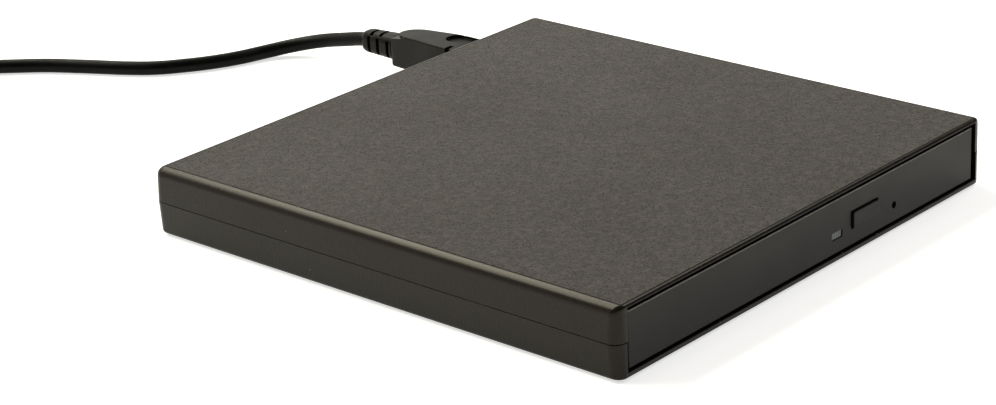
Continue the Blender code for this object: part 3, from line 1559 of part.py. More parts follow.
def pickup_body(finish, origin):
    low, high = sled_levels()
    lens = SLED_REST
    body = box(
        "pickup_body",
        (lens - SLED_NEAR, -SLED_LEFT, low),
        (lens + SLED_FAR, SLED_RIGHT, high),
        finish,
        origin,
    )
    soften(body, SLED_BEVEL, 1)
    ear_half = SHAFT_BLOCK_WIDTH / 2
    ear_low = FRAME_TOP_Z + GAP
    back = lens - SLED_EAR_BACK
    front = lens + SLED_EAR_FRONT
    ear_top = high - SLED_BEVEL - GAP / 2
    left_ear = box(
        "left_ear",
        (back, -GUIDE_SHAFT_SPREAD - ear_half, ear_low),
        (front, -SLED_LEFT + SLED_BEVEL * 2, ear_top),
        parent=origin,
    )
    bridge = box(
        "sled_bridge",
        (back, SLED_RIGHT - SLED_BEVEL * 2, ear_top - SLED_BRIDGE_THICKNESS),
        (front, GUIDE_SHAFT_SPREAD + ear_half, ear_top),
        parent=origin,
    )
    right_ear = box(
        "right_ear",
        (back + GAP, GUIDE_SHAFT_SPREAD - ear_half + GAP, ear_low),
        (front - GAP, GUIDE_SHAFT_SPREAD + ear_half - GAP, ear_top - SLED_BRIDGE_THICKNESS / 2),
        parent=origin,
    )
    join(body, left_ear, bridge, right_ear)
    for number, side in enumerate((-1, 1), 1):
        cut(
            body,
            along_mechanism(
                f"ear_bore_{number}",
                GUIDE_SHAFT_RADIUS + GAP,
                side * GUIDE_SHAFT_SPREAD,
                back - OVERRUN,
                front + OVERRUN,
                origin,
            ),
        )
    pocket = rod(
        "lens_pocket",
        LENS_POCKET_RADIUS,
        (lens, 0, 0),
        high - LENS_POCKET_DEPTH,
        high + OVERRUN,
        sides=CIRCLE_SIDES,
        parent=origin,
    )
    return cut(body, pocket)


def lens_actuator(holder_finish, lens_finish, origin):
    high = sled_levels()[1]
    low = high - LENS_POCKET_DEPTH + GAP + LENS_FOCUS_TRAVEL
    top = low + LENS_HOLDER_HEIGHT
    seat = LENS_RADIUS + GAP
    shelf = top - LENS_HEIGHT / 2
    profile = [
        (0, low),
        (LENS_HOLDER_RADIUS, low),
        (LENS_HOLDER_RADIUS, top - GAP),
        (LENS_HOLDER_RADIUS - GAP, top),
        (seat, top),
        (seat, shelf),
        (0, shelf),
    ]
    add("lens_holder", lathe_mesh("lens_holder", profile), holder_finish, (SLED_REST, 0, 0), origin)
    lens_low = shelf + GAP
    lens_profile = [(0, lens_low), (LENS_RADIUS, lens_low)]
    for step in range(ROUND_STEPS):
        angle = math.pi / 2 * step / ROUND_STEPS
        lens_profile.append(
            (LENS_RADIUS * math.cos(angle), lens_low + GAP + (LENS_HEIGHT - GAP) * math.sin(angle))
        )
    lens_profile.append((0, lens_low + LENS_HEIGHT))
    dome = lathe_mesh("objective_lens", lens_profile, SMALL_SIDES)
    add("objective_lens", dome, lens_finish, (SLED_REST, 0, 0), origin)


# A rod with one helical groove, whose turns are worked out from its pitch.
def lead_screw(finish, origin):
    length = SLED_MOTOR_NEAR - GAP - LEAD_SCREW_NEAR
    steps = round(length / LEAD_SCREW_PITCH * LEAD_SCREW_STEPS_A_TURN)
    rings = []
    for step in range(steps + 1):
        height = length * step / steps
        ring = []
        for side in range(LEAD_SCREW_SIDES):
            angle = 2 * math.pi * side / LEAD_SCREW_SIDES
            wave = math.cos(angle - 2 * math.pi * height / LEAD_SCREW_PITCH)
            radius = LEAD_SCREW_RADIUS - LEAD_SCREW_GROOVE * (1 - wave) / 2
            ring.append((radius * math.cos(angle), radius * math.sin(angle), height))
        rings.append(ring)
    place = (LEAD_SCREW_NEAR, LEAD_SCREW_OFFSET, GUIDE_SHAFT_Z)
    screw = add("lead_screw", loft_mesh("lead_screw", rings), finish, place, origin)
    screw.rotation_euler = (0, math.pi / 2, 0)
    return screw


def sled_motor(finish, origin):
    return along_mechanism(
        "sled_motor",
        SLED_MOTOR_RADIUS,
        LEAD_SCREW_OFFSET,
        SLED_MOTOR_NEAR,
        SLED_MOTOR_NEAR + SLED_MOTOR_LENGTH,
        origin,
        finish,
        CIRCLE_SIDES,
    )


# Tray electronics and latch

def tray_board(finish):
    low = TRAY_Z + TRAY_BOARD_LIFT
    top = low + TRAY_BOARD_THICKNESS
    front = TRAY_FRONT_Y + TRAY_BOARD_FRONT_INSET
    board = box(
        "tray_board",
        (TRAY_BOARD_LEFT, front, low),
        (TRAY_BOARD_RIGHT, front + TRAY_BOARD_DEPTH, top),
        finish,
    )
    half = SWITCH_WIDTH / 2
    switch = box(
        "eject_switch",
        (BUTTON_CENTRE_X - half, SWITCH_FACE_Y + SWITCH_PLUNGER_REACH, top - TRAY_BOARD_THICKNESS / 2),
        (BUTTON_CENTRE_X + half, SWITCH_FACE_Y + SWITCH_PLUNGER_REACH + SWITCH_DEPTH, top + SWITCH_HEIGHT),
    )
    plunger_z = BUTTON_Z - BUTTON_HEIGHT / 2 + BUTTON_STEM_HEIGHT / 2
    thin = BUTTON_STEM_HEIGHT / 4
    plunger = box(
        "switch_plunger",
        (BUTTON_CENTRE_X - half / 3, SWITCH_FACE_Y, plunger_z - thin),
        (BUTTON_CENTRE_X + half / 3, SWITCH_FACE_Y + SWITCH_PLUNGER_REACH * 2, plunger_z + thin),
    )
    lamp_front = BEZEL_FRONT_Y + LED_RECESS + LED_PIPE_LENGTH + GAP
    lamp = box(
        "status_lamp",
        (LED_CENTRE_X - LED_HEIGHT / 2, lamp_front, low + TRAY_BOARD_THICKNESS / 2),
        (LED_CENTRE_X + LED_HEIGHT / 2, front + LAMP_DEPTH, LED_Z + LED_HEIGHT / 2),
    )
    return join(board, switch, plunger, lamp)


def latch_solenoid(finish):
    front = TRAY_FRONT_Y + SOLENOID_FRONT_INSET
    low = TRAY_Z + TRAY_BOARD_LIFT
    right = SOLENOID_RIGHT
    coil = box(
        "latch_solenoid",
        (right - SOLENOID_WIDTH, front, low),
        (right, front + SOLENOID_DEPTH, low + SOLENOID_HEIGHT),
        finish,
    )
    place = (right - SOLENOID_ROD_LENGTH, front + SOLENOID_DEPTH / 2, low + SOLENOID_HEIGHT / 2)
    plunger = rod("solenoid_plunger", SOLENOID_ROD_RADIUS, place, 0, SOLENOID_ROD_LENGTH * 2)
    plunger.rotation_euler = (0, math.pi / 2, 0)
    return join(coil, plunger)


def latch_pivot():
    return LATCH_PIVOT_X, latch_post_y() - LATCH_PIVOT_BACK


# The lever is drawn hooked behind the post about its own pivot, and stands swung clear of it.
def latch_lever(finish):
    x, y = latch_pivot()
    low = TRAY_Z + TRAY_BOARD_LIFT
    arm_half = LATCH_ARM_WIDTH / 2
    nose_near = LATCH_PIVOT_BACK + LATCH_POST_RADIUS + GAP
    outline = [
        (-arm_half, 0),
        (arm_half, 0),
        (arm_half, nose_near),
        (LATCH_NOSE_REACH, nose_near),
        (LATCH_NOSE_REACH - LATCH_ARM_WIDTH / 3, nose_near + LATCH_NOSE_LENGTH),
        (-arm_half, nose_near + LATCH_NOSE_LENGTH),
    ]
    lever = add(
        "latch_lever",
        prism_mesh("latch_lever", outline, 0, LATCH_THICKNESS),
        finish,
        (x, y, low),
    )
    boss = rod("lever_boss", LATCH_BOSS_RADIUS, (0, 0, 0), 0, LATCH_THICKNESS, parent=lever)
    bore = rod("lever_bore", LATCH_BORE_RADIUS, (0, 0, 0), -OVERRUN, LATCH_THICKNESS + OVERRUN, parent=lever)
    lever.rotation_euler = (0, 0, LATCH_SWING)
    join(lever, boss)
    return cut(lever, bore)


def latch_post(finish):
    shoulder = BASE_TOP_Z + GAP
    profile = [
        (0, DRIVE_Z),
        (LATCH_FOOT_RADIUS, DRIVE_Z),
        (LATCH_FOOT_RADIUS, shoulder),
        (LATCH_POST_RADIUS, shoulder),
        (LATCH_POST_RADIUS, shoulder + LATCH_POST_HEIGHT),
        (0, shoulder + LATCH_POST_HEIGHT),
    ]
    place = (LATCH_POST_X, latch_post_y(), 0)
    return add("latch_post", lathe_mesh("latch_post", profile, SMALL_SIDES), finish, place)


# Drive electronics and ejector

def main_board(finish):
    board = box(
        "main_board",
        (MAIN_BOARD_LEFT, MAIN_BOARD_FRONT_Y, MAIN_BOARD_Z),
        (MAIN_BOARD_RIGHT, MAIN_BOARD_BACK_Y, MAIN_BOARD_TOP_Z),
        finish,
    )
    chip_x = MAIN_BOARD_RIGHT - CHIP_INSET - CHIP_WIDTH / 2
    middle = (MAIN_BOARD_FRONT_Y + MAIN_BOARD_BACK_Y) / 2
    chip = box(
        "main_chip",
        (chip_x - CHIP_WIDTH / 2, middle - CHIP_WIDTH / 2, MAIN_BOARD_Z + MAIN_BOARD_THICKNESS / 2),
        (chip_x + CHIP_WIDTH / 2, middle + CHIP_WIDTH / 2, MAIN_BOARD_TOP_Z + CHIP_HEIGHT),
    )
    return join(board, chip)


def drive_connector(finish):
    half = DRIVE_PLUG_WIDTH / 2
    front = DRIVE_BACK_Y - DRIVE_PLUG_DEPTH
    block = box(
        "drive_connector",
        (DRIVE_PLUG_CENTRE_X - half, front, DRIVE_PLUG_Z),
        (DRIVE_PLUG_CENTRE_X + half, DRIVE_BACK_Y, DRIVE_PLUG_Z + DRIVE_PLUG_HEIGHT),
        finish,
    )
    slot_half_z = BRIDGE_TONGUE_THICKNESS / 2 + GAP
    middle = DRIVE_PLUG_Z + DRIVE_PLUG_HEIGHT / 2
    slot = box(
        "connector_slot",
        (
            DRIVE_PLUG_CENTRE_X - half + DRIVE_PLUG_WALL,
            DRIVE_BACK_Y - BRIDGE_TONGUE_REACH,
            middle - slot_half_z,
        ),
        (
            DRIVE_PLUG_CENTRE_X + half - DRIVE_PLUG_WALL,
            DRIVE_BACK_Y + OVERRUN,
            middle + slot_half_z,
        ),
    )
    return cut(block, slot)


def flex_cable(finish):
    low = BASE_TOP_Z + GAP / 2
    back = MAIN_BOARD_FRONT_Y - GAP
    return box(
        "flex_cable",
        (FLEX_LEFT, back - FLEX_LENGTH, low),
        (FLEX_LEFT + FLEX_WIDTH, back, low + FLEX_THICKNESS),
        finish,
    )


# The ejector stands pressed back by the closed tray, its spring wound short against its bracket.
def ejector(rod_finish, spring_finish):
    height = MAIN_BOARD_Z + EJECTOR_HEIGHT
    front = TRAY_BODY_BACK_Y + GAP
    profile = [
        (0, 0),
        (EJECTOR_HEAD_RADIUS, 0),
        (EJECTOR_HEAD_RADIUS, EJECTOR_HEAD_LENGTH),
        (EJECTOR_ROD_RADIUS, EJECTOR_HEAD_LENGTH),
        (EJECTOR_ROD_RADIUS, EJECTOR_LENGTH),
        (0, EJECTOR_LENGTH),
    ]
    pusher_mesh = lathe_mesh("eject_pusher", profile, SMALL_SIDES)
    along_y(add("eject_pusher", pusher_mesh, rod_finish, (EJECTOR_X, front, height)))
    points = []
    steps = EJECTOR_SPRING_TURNS * (SMALL_SIDES // 2 + 1)
    start = front + EJECTOR_HEAD_LENGTH + GAP + EJECTOR_WIRE_RADIUS
    for step in range(steps + 1):
        angle = 2 * math.pi * EJECTOR_SPRING_TURNS * step / steps
        points.append(
            (
                EJECTOR_X + EJECTOR_SPRING_RADIUS * math.cos(angle),
                start + EJECTOR_SPRING_LENGTH * step / steps,
                height + EJECTOR_SPRING_RADIUS * math.sin(angle),
            )
        )
    tube("eject_spring", points, EJECTOR_WIRE_RADIUS, 0, spring_finish)
    bracket_front = start + EJECTOR_SPRING_LENGTH + EJECTOR_WIRE_RADIUS + GAP
    half = EJECTOR_BRACKET_WIDTH / 2
    bracket = box(
        "eject_bracket",
        (EJECTOR_X - half, bracket_front, BASE_TOP_Z + GAP),
        (EJECTOR_X + half, bracket_front + EJECTOR_BRACKET_DEPTH, height + EJECTOR_HEAD_RADIUS),
        rod_finish,
    )
    hole = along_y(
        rod(
            "bracket_hole",
            EJECTOR_ROD_RADIUS + GAP,
            (EJECTOR_X, bracket_front, height),
            -OVERRUN,
            EJECTOR_BRACKET_DEPTH + OVERRUN,
        )
    )
    cut(bracket, hole)


# Bridge board and port

def bridge_board(finish):
    board = box(
        "bridge_board",
        (BRIDGE_LEFT, BRIDGE_FRONT_Y, BRIDGE_Z),
        (BRIDGE_RIGHT, BRIDGE_BACK_Y, BRIDGE_TOP_Z),
        finish,
    )
    middle = (BRIDGE_FRONT_Y + BRIDGE_BACK_Y) / 2
    half = BRIDGE_CHIP_WIDTH / 2
    chip_x = BRIDGE_LEFT + BRIDGE_CHIP_SHARE * (BRIDGE_RIGHT - BRIDGE_LEFT)
    chip = box(
        "bridge_chip",
        (chip_x - half, middle - half, BRIDGE_Z + BRIDGE_THICKNESS / 2),
        (chip_x + half, middle + half, BRIDGE_TOP_Z + BRIDGE_CHIP_HEIGHT),
    )
    return join(board, chip)


def bridge_connector(finish):
    half = DRIVE_PLUG_WIDTH / 2
    middle = DRIVE_PLUG_Z + DRIVE_PLUG_HEIGHT / 2
    front = DRIVE_BACK_Y + GAP
    top = max(BRIDGE_TOP_Z + GAP + BRIDGE_CHIP_HEIGHT, DRIVE_PLUG_Z + DRIVE_PLUG_HEIGHT)
    block = box(
        "bridge_connector",
        (DRIVE_PLUG_CENTRE_X - half, front, DRIVE_PLUG_Z),
        (DRIVE_PLUG_CENTRE_X + half, BRIDGE_FRONT_Y - GAP, top),
        finish,
    )
    saddle = box(
        "connector_saddle",
        (DRIVE_PLUG_CENTRE_X - half, front + GAP, BRIDGE_TOP_Z + GAP),
        (DRIVE_PLUG_CENTRE_X + half, BRIDGE_FRONT_Y + BRIDGE_SOCKET_DEPTH, top),
    )
    tongue_half = half - DRIVE_PLUG_WALL - GAP
    tongue = box(
        "connector_tongue",
        (
            DRIVE_PLUG_CENTRE_X - tongue_half,
            DRIVE_BACK_Y - BRIDGE_TONGUE_REACH + GAP,
            middle - BRIDGE_TONGUE_THICKNESS / 2,
        ),
        (DRIVE_PLUG_CENTRE_X + tongue_half, front + GAP, middle + BRIDGE_TONGUE_THICKNESS / 2),
    )
    return join(block, saddle, tongue)


def port_box(name, inset, front, back, finish=None):
    half_x = PORT_WIDTH / 2 - inset
    half_z = PORT_HEIGHT / 2 - inset
    return box(
        name,
        (PORT_X - half_x, front, PORT_Z - half_z),
        (PORT_X + half_x, back, PORT_Z + half_z),
        finish,
    )


def port_front_y():
    return BACK_Y - GAP - PORT_DEPTH


def usb_port(shell_finish, insert_finish):
    front = port_front_y()
    shell = port_box("usb_port_shell", 0, front, BACK_Y - GAP, shell_finish)
    cut(shell, port_box("port_hollow", PORT_WALL, front + PORT_WALL, BACK_Y + OVERRUN))
    insert_front = front + PORT_WALL + GAP
    insert_back = insert_front + PORT_INSERT_DEPTH
    insert = port_box("usb_port_insert", PORT_WALL + GAP, insert_front, insert_back, insert_finish)
    tongue_half = PORT_WIDTH / 2 - PORT_WALL - 3 * GAP - PLUG_NOSE_WALL
    tongue = box(
        "port_tongue",
        (PORT_X - tongue_half, insert_front + GAP, PORT_Z - PORT_TONGUE_HEIGHT / 2),
        (PORT_X + tongue_half, insert_back + PORT_TONGUE_REACH, PORT_Z + PORT_TONGUE_HEIGHT / 2),
    )
    join(insert, tongue)


# Cable, its plugs and its coil

def tube(name, points, radius, resolution, finish):
    curve = bpy.data.curves.new(name, "CURVE")
    curve.dimensions = "3D"
    curve.bevel_depth = radius
    curve.bevel_resolution = resolution
    curve.use_fill_caps = True
    spline = curve.splines.new("POLY")
    spline.points.add(len(points) - 1)
    for slot, point in zip(spline.points, points):
        slot.co = (*point, 1.0)
    curve.materials.append(finish)
    piece = bpy.data.objects.new(name, curve)
    bpy.context.scene.collection.objects.link(piece)
    return piece


# Sections across Y, each a width, a height and a station, joined into one body.
def body_along(name, sections, corner, finish, place, direction):
    across = Vector((direction[1], -direction[0], 0))
    rings = []
    for width, height, station in sections:
        outline = rounded_outline(width / 2, height / 2, min(corner, width / 3, height / 3), ROUND_STEPS - 2)
        rings.append(
            [tuple(across * x + Vector(direction) * station + Vector((0, 0, z))) for x, z in outline]
        )
    return add(name, loft_mesh(name, rings), finish, place)


def device_plug(finish):
    sections = [
        (PLUG_WIDTH - 2 * PLUG_TIP_BEVEL, PLUG_HEIGHT - 2 * PLUG_TIP_BEVEL, 0),
        (PLUG_WIDTH, PLUG_HEIGHT, PLUG_TIP_BEVEL),
        (PLUG_WIDTH, PLUG_HEIGHT, PLUG_LENGTH * PLUG_STRAIGHT_SHARE),
        (PLUG_BACK_WIDTH, PLUG_HEIGHT, PLUG_LENGTH - PLUG_TAIL),
        (PLUG_BACK_WIDTH, PLUG_BACK_HEIGHT, PLUG_LENGTH),
    ]
    plug = body_along("device_plug", sections, PLUG_CORNER, finish, (PORT_X, PLUG_FRONT_Y, PORT_Z), (0, 1, 0))
    inset = PORT_WALL + GAP
    nose_front = PLUG_FRONT_Y - PLUG_NOSE_LENGTH
    nose = port_box("plug_nose", inset, nose_front, PLUG_FRONT_Y + GAP)
    hollow = port_box("nose_hollow", inset + PLUG_NOSE_WALL, nose_front - OVERRUN, PLUG_FRONT_Y - GAP)
    join(plug, nose)
    return cut(plug, hollow)


def strain_relief(finish):
    sections = []
    rib = RELIEF_LENGTH / (2 * RELIEF_GROOVES + 1)
    for number in range(2 * RELIEF_GROOVES + 1):
        sunk = RELIEF_GROOVE_DEPTH if number % 2 else 0
        for along in (number * rib, (number + 1) * rib):
            share = along / RELIEF_LENGTH
            size = RELIEF_FRONT_SIZE + share * (RELIEF_BACK_SIZE - RELIEF_FRONT_SIZE) - 2 * sunk
            sections.append((size, size, along))
    place = (PORT_X, RELIEF_Y, RELIEF_Z)
    return body_along("device_plug_relief", sections, RELIEF_CORNER, finish, place, (0, 1, 0))


# Evenly spaced points on a smooth curve through the given ones.
def smooth_route(points, step):
    knots = [Vector(point) for point in points]
    knots = [knots[0] * 2 - knots[1], *knots, knots[-1] * 2 - knots[-2]]
    dense = []
    for before, start, end, after in zip(knots, knots[1:], knots[2:], knots[3:]):
        for tick in range(ROUND_STEPS * 4):
            share = tick / (ROUND_STEPS * 4)
            bend_in = (end - before) / 2
            bend_out = (after - start) / 2
            dense.append(
                start * (2 * share**3 - 3 * share**2 + 1)
                + bend_in * (share**3 - 2 * share**2 + share)
                + end * (3 * share**2 - 2 * share**3)
                + bend_out * (share**3 - share**2)
            )
    dense.append(knots[-2])
    lengths = [0]
    for near, far in zip(dense, dense[1:]):
        lengths.append(lengths[-1] + (far - near).length)
    count = max(2, round(lengths[-1] / step))
    placed = []
    index = 0
    for number in range(count + 1):
        wanted = lengths[-1] * number / count
        while index < len(lengths) - 2 and lengths[index + 1] < wanted:
            index += 1
        share = (wanted - lengths[index]) / max(lengths[index + 1] - lengths[index], GAP / 1000)
        placed.append(dense[index].lerp(dense[index + 1], share))
    return placed


def coil_point(turns):
    angle = math.radians(COIL_START_DEGREES) + 2 * math.pi * turns
    half = COIL_TURNS / 2
    radius = COIL_OUTER_RADIUS - COIL_PITCH * min(turns, COIL_TURNS - turns)
    climb = min(1, max(0, (turns - half) / COIL_CLIMB_TURNS + 1 / 2))
    rise = COIL_PITCH * climb * climb * (3 - 2 * climb)
    return Vector(
        (
            COIL_CENTRE[0] + radius * math.cos(angle),
            COIL_CENTRE[1] + radius * math.sin(angle),
            CABLE_RADIUS + rise,
        )
    )


def coil_heading(turns):
    angle = math.radians(COIL_START_DEGREES) + 2 * math.pi * turns + math.pi / 2
    return Vector((math.cos(angle), math.sin(angle), 0))


def coil_start():
    return coil_point(0) - coil_heading(0) * COIL_LEAD


def tail_end():
    end = coil_point(COIL_TURNS) + coil_heading(COIL_TURNS) * COIL_TAIL
    return Vector((end.x, end.y, USB_PLUG_HEIGHT / 2))


def coil_route():
    steps = round(COIL_TURNS * COIL_POINTS_A_TURN)
    route = [coil_start()]
    route += [coil_point(COIL_TURNS * step / steps) for step in range(steps + 1)]
    high = coil_point(COIL_TURNS).z
    low = USB_PLUG_HEIGHT / 2
    straight = 2 * CABLE_RADIUS
    for step in range(1, CABLE_BEND_STEPS + 1):
        share = step / CABLE_BEND_STEPS
        point = coil_point(COIL_TURNS) + coil_heading(COIL_TURNS) * (COIL_TAIL - straight) * share
        point.z = high + (low - high) * share * share * (3 - 2 * share)
        route.append(point)
    route.append(tail_end())
    return route


def least_coil_gap(route):
    dense = [near.lerp(far, tick / 4) for near, far in zip(route, route[1:]) for tick in range(4)]
    apart = round(COIL_POINTS_A_TURN * 4 / 3)
    spans = [
        (dense[first] - dense[second]).length
        for first in range(len(dense))
        for second in range(first + apart, len(dense))
    ]
    return min(spans) - 2 * CABLE_RADIUS


def cable(finish):
    start = Vector((PORT_X, CABLE_START_Y, RELIEF_Z))
    straight = Vector((0, CABLE_RADIUS / 2, 0))
    end = coil_start() - coil_heading(0) * GAP
    lead = coil_heading(0) * 2 * CABLE_RADIUS
    route = smooth_route([start + straight, *CABLE_ROUTE, end - lead], CABLE_STEP)
    tube("usb_cable", [start, *route, end], CABLE_RADIUS, 2, finish)


def cable_coil(finish):
    route = coil_route()
    gap = least_coil_gap(route)
    length = sum((far - near).length for near, far in zip(route, route[1:]))
    print(f"coil least gap {gap:.5f} m, wanted over {COIL_LEAST_GAP:.5f} m, length {length:.3f} m")
    tube("usb_cable_coil", route, CABLE_RADIUS, 1, finish)


def computer_plug(finish, shell_finish, insert_finish):
    direction = coil_heading(COIL_TURNS)
    back = tail_end() + direction * GAP
    neck = 2 * CABLE_RADIUS + PLUG_TIP_BEVEL * 2
    sections = [
        (neck, neck, 0),
        (neck + USB_NECK_GROWTH, neck + USB_NECK_GROWTH, USB_PLUG_NECK - USB_NECK_GROWTH),
        (USB_PLUG_WIDTH - USB_SHOULDER_INSET, USB_PLUG_HEIGHT - USB_NECK_GROWTH, USB_PLUG_NECK),
        (USB_PLUG_WIDTH, USB_PLUG_HEIGHT, USB_PLUG_NECK + PLUG_SHOULDER),
        (USB_PLUG_WIDTH, USB_PLUG_HEIGHT, USB_PLUG_LENGTH - PLUG_TIP_BEVEL),
        (USB_PLUG_WIDTH - 2 * PLUG_TIP_BEVEL, USB_PLUG_HEIGHT - 2 * PLUG_TIP_BEVEL, USB_PLUG_LENGTH),
    ]
    body_along("computer_plug", sections, USB_PLUG_CORNER, finish, back, direction)
    mouth = back + direction * (USB_PLUG_LENGTH + GAP)
    square = GAP
    shell_ends = [
        (USB_SHELL_WIDTH, USB_SHELL_HEIGHT, 0),
        (USB_SHELL_WIDTH, USB_SHELL_HEIGHT, USB_SHELL_LENGTH),
    ]
    shell = body_along("computer_plug_shell", shell_ends, square, shell_finish, mouth, direction)
    wall = 2 * USB_SHELL_WALL
    depth = USB_SHELL_LENGTH - USB_MOUTH_DEPTH
    hollow_ends = [
        (USB_SHELL_WIDTH - wall, USB_SHELL_HEIGHT - wall, depth),
        (USB_SHELL_WIDTH - wall, USB_SHELL_HEIGHT - wall, USB_SHELL_LENGTH + OVERRUN),
    ]
    cut(shell, body_along("shell_hollow", hollow_ends, square, None, mouth, direction))
    insert_width = USB_SHELL_WIDTH - wall - 2 * GAP
    insert_ends = [
        (insert_width, USB_INSERT_HEIGHT, depth + GAP),
        (insert_width, USB_INSERT_HEIGHT, USB_SHELL_LENGTH - PLUG_TIP_BEVEL),
    ]
    lift = Vector((0, 0, (USB_SHELL_HEIGHT - wall - USB_INSERT_HEIGHT) / 2 - GAP))
    body_along("computer_plug_insert", insert_ends, square, insert_finish, mouth + lift, direction)


def build():
    clear_scene()
    case = material("case_plastic", (0.060, 0.055, 0.048), 0.55)
    bezel = material("bezel_plastic", (0.030, 0.028, 0.026), 0.42)
    tray_black = material("tray_plastic", (0.035, 0.035, 0.036), 0.5)
    rubber = material("foot_rubber", (0.045, 0.045, 0.045), 0.9)
    steel = material("sheet_steel", (0.62, 0.63, 0.64), 0.35, 1.0)
    screw_steel = material("screw_steel", (0.25, 0.25, 0.26), 0.4, 1.0)
    bright = material("bright_steel", (0.78, 0.78, 0.79), 0.18, 1.0)
    slider = material("guide_plastic", (0.75, 0.74, 0.70), 0.5)
    board_green = material("circuit_board", (0.030, 0.130, 0.060), 0.45)
    copper = material("copper_winding", (0.70, 0.35, 0.15), 0.4, 1.0)
    frame_metal = material("cast_frame", (0.30, 0.30, 0.31), 0.5, 1.0)
    connector = material("connector_plastic", (0.020, 0.020, 0.020), 0.4)
    lens = material("lens_glass", (0.55, 0.62, 0.80), 0.05)
    light_pipe = material("light_pipe", (0.60, 0.62, 0.64), 0.3)
    flex = material("flex_film", (0.85, 0.83, 0.75), 0.4)
    cord = material("cable_sheath", (0.018, 0.018, 0.017), 0.4)

    top_cover(case)
    bottom_cover(case)
    feet(rubber)
    case_screws(screw_steel)
    drive_base(steel)
    drive_lid(steel)
    rails(slider, bright)

    origin = mechanism_frame()
    disc_tray(tray_black, origin)
    front_bezel(bezel)
    eject_button(bezel)
    led_window(light_pipe)
    mechanism_cover(frame_metal, origin)
    traverse_frame(frame_metal, origin)
    guide_shafts(bright, origin)
    dampers(rubber, origin)
    spindle_motor(steel, copper, origin)
    turntable(steel, rubber, slider, origin)
    pickup_body(frame_metal, origin)
    lens_actuator(connector, lens, origin)
    lead_screw(bright, origin)
    sled_motor(steel, origin)

    tray_board(board_green)
    latch_solenoid(steel)
    latch_lever(slider)
    latch_post(bright)
    main_board(board_green)
    drive_connector(connector)
    flex_cable(flex)
    ejector(slider, bright)
    bridge_board(board_green)
    bridge_connector(connector)
    usb_port(bright, connector)

    device_plug(cord)
    strain_relief(cord)
    cable(cord)
    cable_coil(cord)
    computer_plug(cord, bright, connector)


build()
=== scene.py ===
import json
import math

import bmesh
import bpy
from mathutils import Matrix, Vector


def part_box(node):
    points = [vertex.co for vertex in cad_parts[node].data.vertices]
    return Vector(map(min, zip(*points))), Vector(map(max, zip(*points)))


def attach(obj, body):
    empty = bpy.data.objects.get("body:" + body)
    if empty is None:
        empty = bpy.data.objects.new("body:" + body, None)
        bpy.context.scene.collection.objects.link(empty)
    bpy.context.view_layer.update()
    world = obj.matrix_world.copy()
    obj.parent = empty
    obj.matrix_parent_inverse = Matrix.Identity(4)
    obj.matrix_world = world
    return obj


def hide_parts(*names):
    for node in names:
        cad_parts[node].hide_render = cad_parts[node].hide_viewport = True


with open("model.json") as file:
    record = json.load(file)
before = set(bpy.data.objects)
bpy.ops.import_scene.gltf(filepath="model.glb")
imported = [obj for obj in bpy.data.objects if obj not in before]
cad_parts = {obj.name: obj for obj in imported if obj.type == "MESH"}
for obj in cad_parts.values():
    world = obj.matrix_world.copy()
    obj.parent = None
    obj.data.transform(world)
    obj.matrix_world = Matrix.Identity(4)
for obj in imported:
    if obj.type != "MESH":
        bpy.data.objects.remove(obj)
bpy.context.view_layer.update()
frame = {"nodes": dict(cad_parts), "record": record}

MM = 0.001

# Camera, fitted to the corners of the case in the photo
CAMERA_PLACE = (-0.46749, -0.40019, 0.24860)
CAMERA_AZIMUTH = -47.769
CAMERA_ELEVATION = 21.812
CAMERA_ROLL = -2.682
CAMERA_LENS = 98.07
CAMERA_CLIP = (0.01, 20)
SENSOR_WIDTH = 36

# Light: a warm world that is dim towards the front, and two softboxes
WHITE = (1.0, 1.0, 1.0, 1.0)
WORLD_STRENGTH = 0.62
WORLD_COLOUR = (1.0, 0.960, 0.895, 1.0)
DIM_SIDE_TOWARDS = (-0.15, -0.98, 0.10)
DIM_SIDE_SPAN = (-0.74, 0.0)
DIM_SIDE_SHARE = 0.12
SOFTBOX_DISTANCE = 2.0
# Name, direction, size, power and colour of each
SOFTBOXES = (
    ("back_softbox", (-0.08, 0.62, 0.78), (2.1, 0.5), 36.0, (1.0, 0.98, 0.82)),
    ("side_softbox", (0.69, -0.12, 0.72), (1.2, 0.6), 12.0, (1.0, 0.98, 0.93)),
)

# Floor, white to the camera and a little darker for the light that it throws back
FLOOR_SIZE = 4.0
FLOOR_LIT_COLOUR = (0.84, 0.84, 0.83, 1)
FLOOR_SEEN_COLOUR = (0.95, 0.95, 0.95, 1)
FLOOR_GLOW_COLOUR = (1.0, 1.0, 0.995, 1)
FLOOR_GLOW = 0.66

# Shading and shapes
BEVEL_SAMPLES = 4
EDGE_SPAN = (0.99, 0.85)
SMOOTH_DEGREES = 34
CORNER_STEPS = 6
WELD_DISTANCE = 0.000002

# The case's flat top, the crease round it, where a shade line is painted, and the round edge beyond,
# in mm
TOP_HALF_WIDTH = 68.45
TOP_BACK_Y = 69.45
TOP_FRONT_Y = -71.2
TOP_FADE = (0.05, -0.05)
TOP_LEVEL = (16.9, 17.2)
CREASE_MIDDLE = 0.06
CREASE_FADE = (0.26, 0.10)
ROUNDING_FADE = (0.2, 0.5)
ROUNDING_LEVEL = (15.4, 15.9)

# The painted highlight along the top rim of the bezel, in mm behind its front and below its top
RIM_DEPTH = (0.3, 0.2)
RIM_DROP = (-0.30, -0.22)

# The tray, which carries the bezel, the button, the light and the mechanism
TRAY_BODY = "tray"

# Places in the solid model, in metres
SPINDLE_Y = -0.008
PORT_X = 0.049
PORT_Z = 0.0088
PLUG_FRONT_Y = 0.0723
RELIEF_Y = 0.1031
RELIEF_Z = 0.0081

